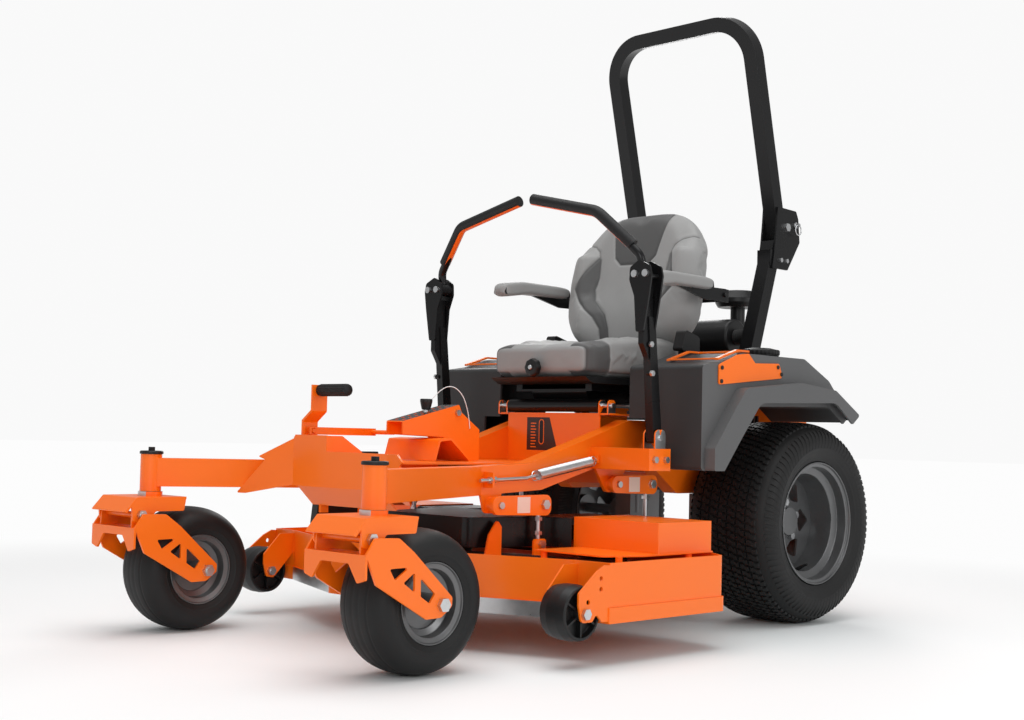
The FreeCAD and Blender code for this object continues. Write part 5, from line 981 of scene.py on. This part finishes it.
def sewn(piece, flat, where, panels, seams, sink=0.0028):
    """Sinks the seams into the piece by a bell of the distance to their lines, and stores
    which points are on a darker panel and how far each seam's line is darkened as painted shade.  where
    limits both to one side of the piece."""
    mesh = piece.data
    spots = points_of(mesh)
    outward = np.empty(len(spots) * 3)
    mesh.vertices.foreach_get("normal", outward)
    panel = np.zeros(len(spots))
    for outline in panels:
        edge = from_lines(flat, [list(outline) + [outline[0]]])
        signed = np.where(within(flat, outline), edge, -edge)
        panel = np.maximum(panel, np.clip(0.5 + signed / 0.008, 0, 1) * where)
    lines = list(seams) + [list(outline) + [outline[0]] for outline in panels]
    groove = np.exp(-(from_lines(flat, lines) / 0.0042) ** 2) * where
    spots -= outward.reshape(-1, 3) * (groove * sink)[:, None]
    mesh.vertices.foreach_set("co", spots.ravel())
    # The second attribute darkens the colour along the sunk seams as painted shade.
    for name, values in (("panel", panel), ("seam_shade", np.clip(groove * 1.4 - 0.75, 0, 0.6))):
        layer = mesh.attributes.new(name, "FLOAT", "POINT")
        layer.data.foreach_set("value", values)


# Seat cushion: a boxy closed form, sides of power 0.2, with raised thigh rolls at each side
# behind the front edge and a dark band round each front corner.
theta = np.linspace(0, 2 * np.pi, 120, endpoint=False)
phi = np.linspace(-np.pi / 2, np.pi / 2, 61)


def power(value, exponent):
    """value to a power that keeps its sign."""
    return np.sign(value) * np.abs(value) ** exponent


half_x, half_y, half_z = 0.2035, 0.2260, 0.0500
x = half_x * power(np.cos(phi)[:, None], 0.20) * power(np.cos(theta)[None], 0.20)
y = half_y * power(np.cos(phi)[:, None], 0.20) * power(np.sin(theta)[None], 0.20)
z = half_z * power(np.sin(phi)[:, None], 0.30) * np.ones_like(x)
upper = np.clip(z / half_z, 0, 1)
rolls = np.clip((np.abs(x) - 0.085) / 0.085, 0, 1) ** 1.4 * np.clip((y + 0.165) / 0.09, 0, 1)
z = z + upper * (0.022 * rolls - 0.006 * (1 - np.abs(x) / half_x) + 0.006 * (y / half_y))
spots = np.stack([x, y + axle.y - 0.4495, z + 0.7700], -1)
cushion = made("seat_cushion_sewn", [(spots, woven(61, 120, False, True).tolist(), 0)],
               (seat_vinyl,), "seat")
filled(cushion, 0.006)
spots = points_of(cushion.data)
flat = np.stack([spots[:, 1] - axle.y, spots[:, 2]], -1)
side_wall = (np.abs(spots[:, 0]) > 0.12).astype(float)
sewn(cushion, flat, side_wall, [[(-0.660, 0.70), (-0.575, 0.70), (-0.575, 0.86), (-0.660, 0.86)]],
     [[(-0.70, 0.728), (-0.20, 0.728)]])
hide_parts("seat_cushion")
cushion.data.materials.clear()
cushion.data.materials.append(seat_vinyl)

# Backrest: a pillow over a rounded outline, its depth falling by (1 - rho^5)^(1 / 2.6) to
# the rim, with side wings that come forward and a tapered insert at the head.
rho = np.concatenate([np.linspace(0, 0.9, 28), 1 - 0.1 * np.linspace(1, 0, 14)[1:] ** 2])
height = 1.026 + 0.236 * power(np.sin(theta), 0.48)
width = np.interp(height, [0.79, 0.90, 1.03, 1.13, 1.25], [0.226, 0.250, 0.256, 0.246, 0.206])
outline = np.stack([width * power(np.cos(theta), 0.52), height], -1) - (0, 1.01)
layers = []
for way in (-1, 1):
    flat_x = rho[:, None] * outline[None, :, 0]
    flat_z = rho[:, None] * outline[None, :, 1] + 1.01
    swell = (1 - np.clip(rho, 0, 1) ** 5) ** (1 / 2.6)
    if way < 0:
        valley = np.interp(flat_z, [0.80, 0.86, 0.92, 0.98, 1.03, 1.11, 1.17],
                           [0.070, 0.075, 0.088, 0.120, 0.128, 0.134, 0.165])
        rise = np.clip((np.abs(flat_x) - valley) / 0.078, 0, 1)
        wings = 0.056 * rise ** 2 * (3 - 2 * rise) * np.clip((1.215 - flat_z) / 0.11, 0, 1)
        lumbar = 0.008 * np.exp(-((flat_z - 0.92) / 0.07) ** 2) * (np.abs(flat_x) < 0.15)
        depth = swell[:, None] * (0.036 + wings + lumbar - 0.006 * np.exp(-(flat_x / 0.08) ** 2))
    else:
        depth = swell[:, None] * (0.040 + 0.016 * (np.abs(flat_x) / 0.25) ** 2)
    layers.append(np.stack([flat_x, -0.260 + way * depth, flat_z], -1))
shell = np.concatenate([layers[0], layers[1][::-1][1:]])
back = made("seat_back_sewn", [(shell, woven(len(shell), 120, False, True).tolist(), 0)],
            (seat_vinyl,), "seat")
filled(back, 0.007)
spots = points_of(back.data)
flat = spots[:, [0, 2]]
in_front = (spots[:, 1] < -0.268).astype(float)
insert = [(-0.146, 1.112), (-0.174, 1.062), (-0.204, 0.998), (-0.166, 0.948), (-0.116, 0.904),
          (-0.094, 0.868), (-0.090, 0.824), (-0.062, 0.824), (-0.066, 0.870), (-0.082, 0.914),
          (-0.126, 0.962), (-0.138, 1.000), (-0.134, 1.040), (-0.140, 1.104)]
head = [(-0.118, 1.28), (-0.100, 1.190), (-0.082, 1.105), (-0.058, 1.082), (0.058, 1.082),
        (0.082, 1.105), (0.100, 1.190), (0.118, 1.28)]
wing_seam = [(0.142, 1.106), (0.152, 1.132), (0.176, 1.152), (0.212, 1.162), (0.262, 1.156)]
sewn(back, flat, in_front, [insert, [(-a, b) for a, b in insert[::-1]], head],
     [wing_seam, [(-a, b) for a, b in wing_seam]])
spots = points_of(back.data) - (0, -0.215, 0.790)
lean = math.radians(-12)
spots = spots @ np.array([(1, 0, 0), (0, math.cos(lean), math.sin(lean)),
                          (0, -math.sin(lean), math.cos(lean))])
back.data.vertices.foreach_set("co", (spots + (0, axle.y - 0.215, 0.790)).ravel())
back.data.materials.clear()
back.data.materials.append(seat_vinyl)
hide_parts("seat_back")

# Armrests: foam pads of rounded section, 52 mm wide, thicker over the elbow, on flat black
# steel arms.
arm_y = np.linspace(0, 1, 49)
for side, mark in ((1, "left"), (-1, "right")):
    eased(mark + "_armrest", mark + "_armrest_arm", (black_coat,), edge=0.0016)
    run = -0.556 + 0.325 * arm_y
    top = np.interp(arm_y, [0, 0.06, 0.3, 0.8, 1], [1.014, 1.022, 1.032, 1.031, 1.0270])
    under = np.interp(arm_y, [0, 0.08, 0.38, 1], [0.980, 0.978, 0.9930, 0.9935])
    end = (1 - np.abs(2 * arm_y - 1) ** 14) ** 0.5
    a = np.linspace(0, 2 * np.pi, 40, endpoint=False)
    pad_x = side * 0.292 + end[:, None] * 0.0300 * power(np.cos(a)[None], 0.5)
    middle = ((top + under) / 2)[:, None]
    pad_z = middle + end[:, None] * ((top - under) / 2)[:, None] * power(np.sin(a)[None], 0.5)
    pad = np.stack([pad_x, np.broadcast_to((run + axle.y)[:, None], pad_x.shape), pad_z], -1)
    armrest = made(mark + "_armrest_pad", [(pad, woven(49, 40, False, True).tolist(), 0)],
                   (seat_vinyl,), mark + "_arm", sharp=80)
    smooth = armrest.modifiers.new("smooth", "SUBSURF")
    smooth.levels = 1
    smooth.render_levels = 1


# ------------------------------------------------------------ sizes, and the end
# The finished scene's box, leaving out the floor.
low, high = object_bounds()
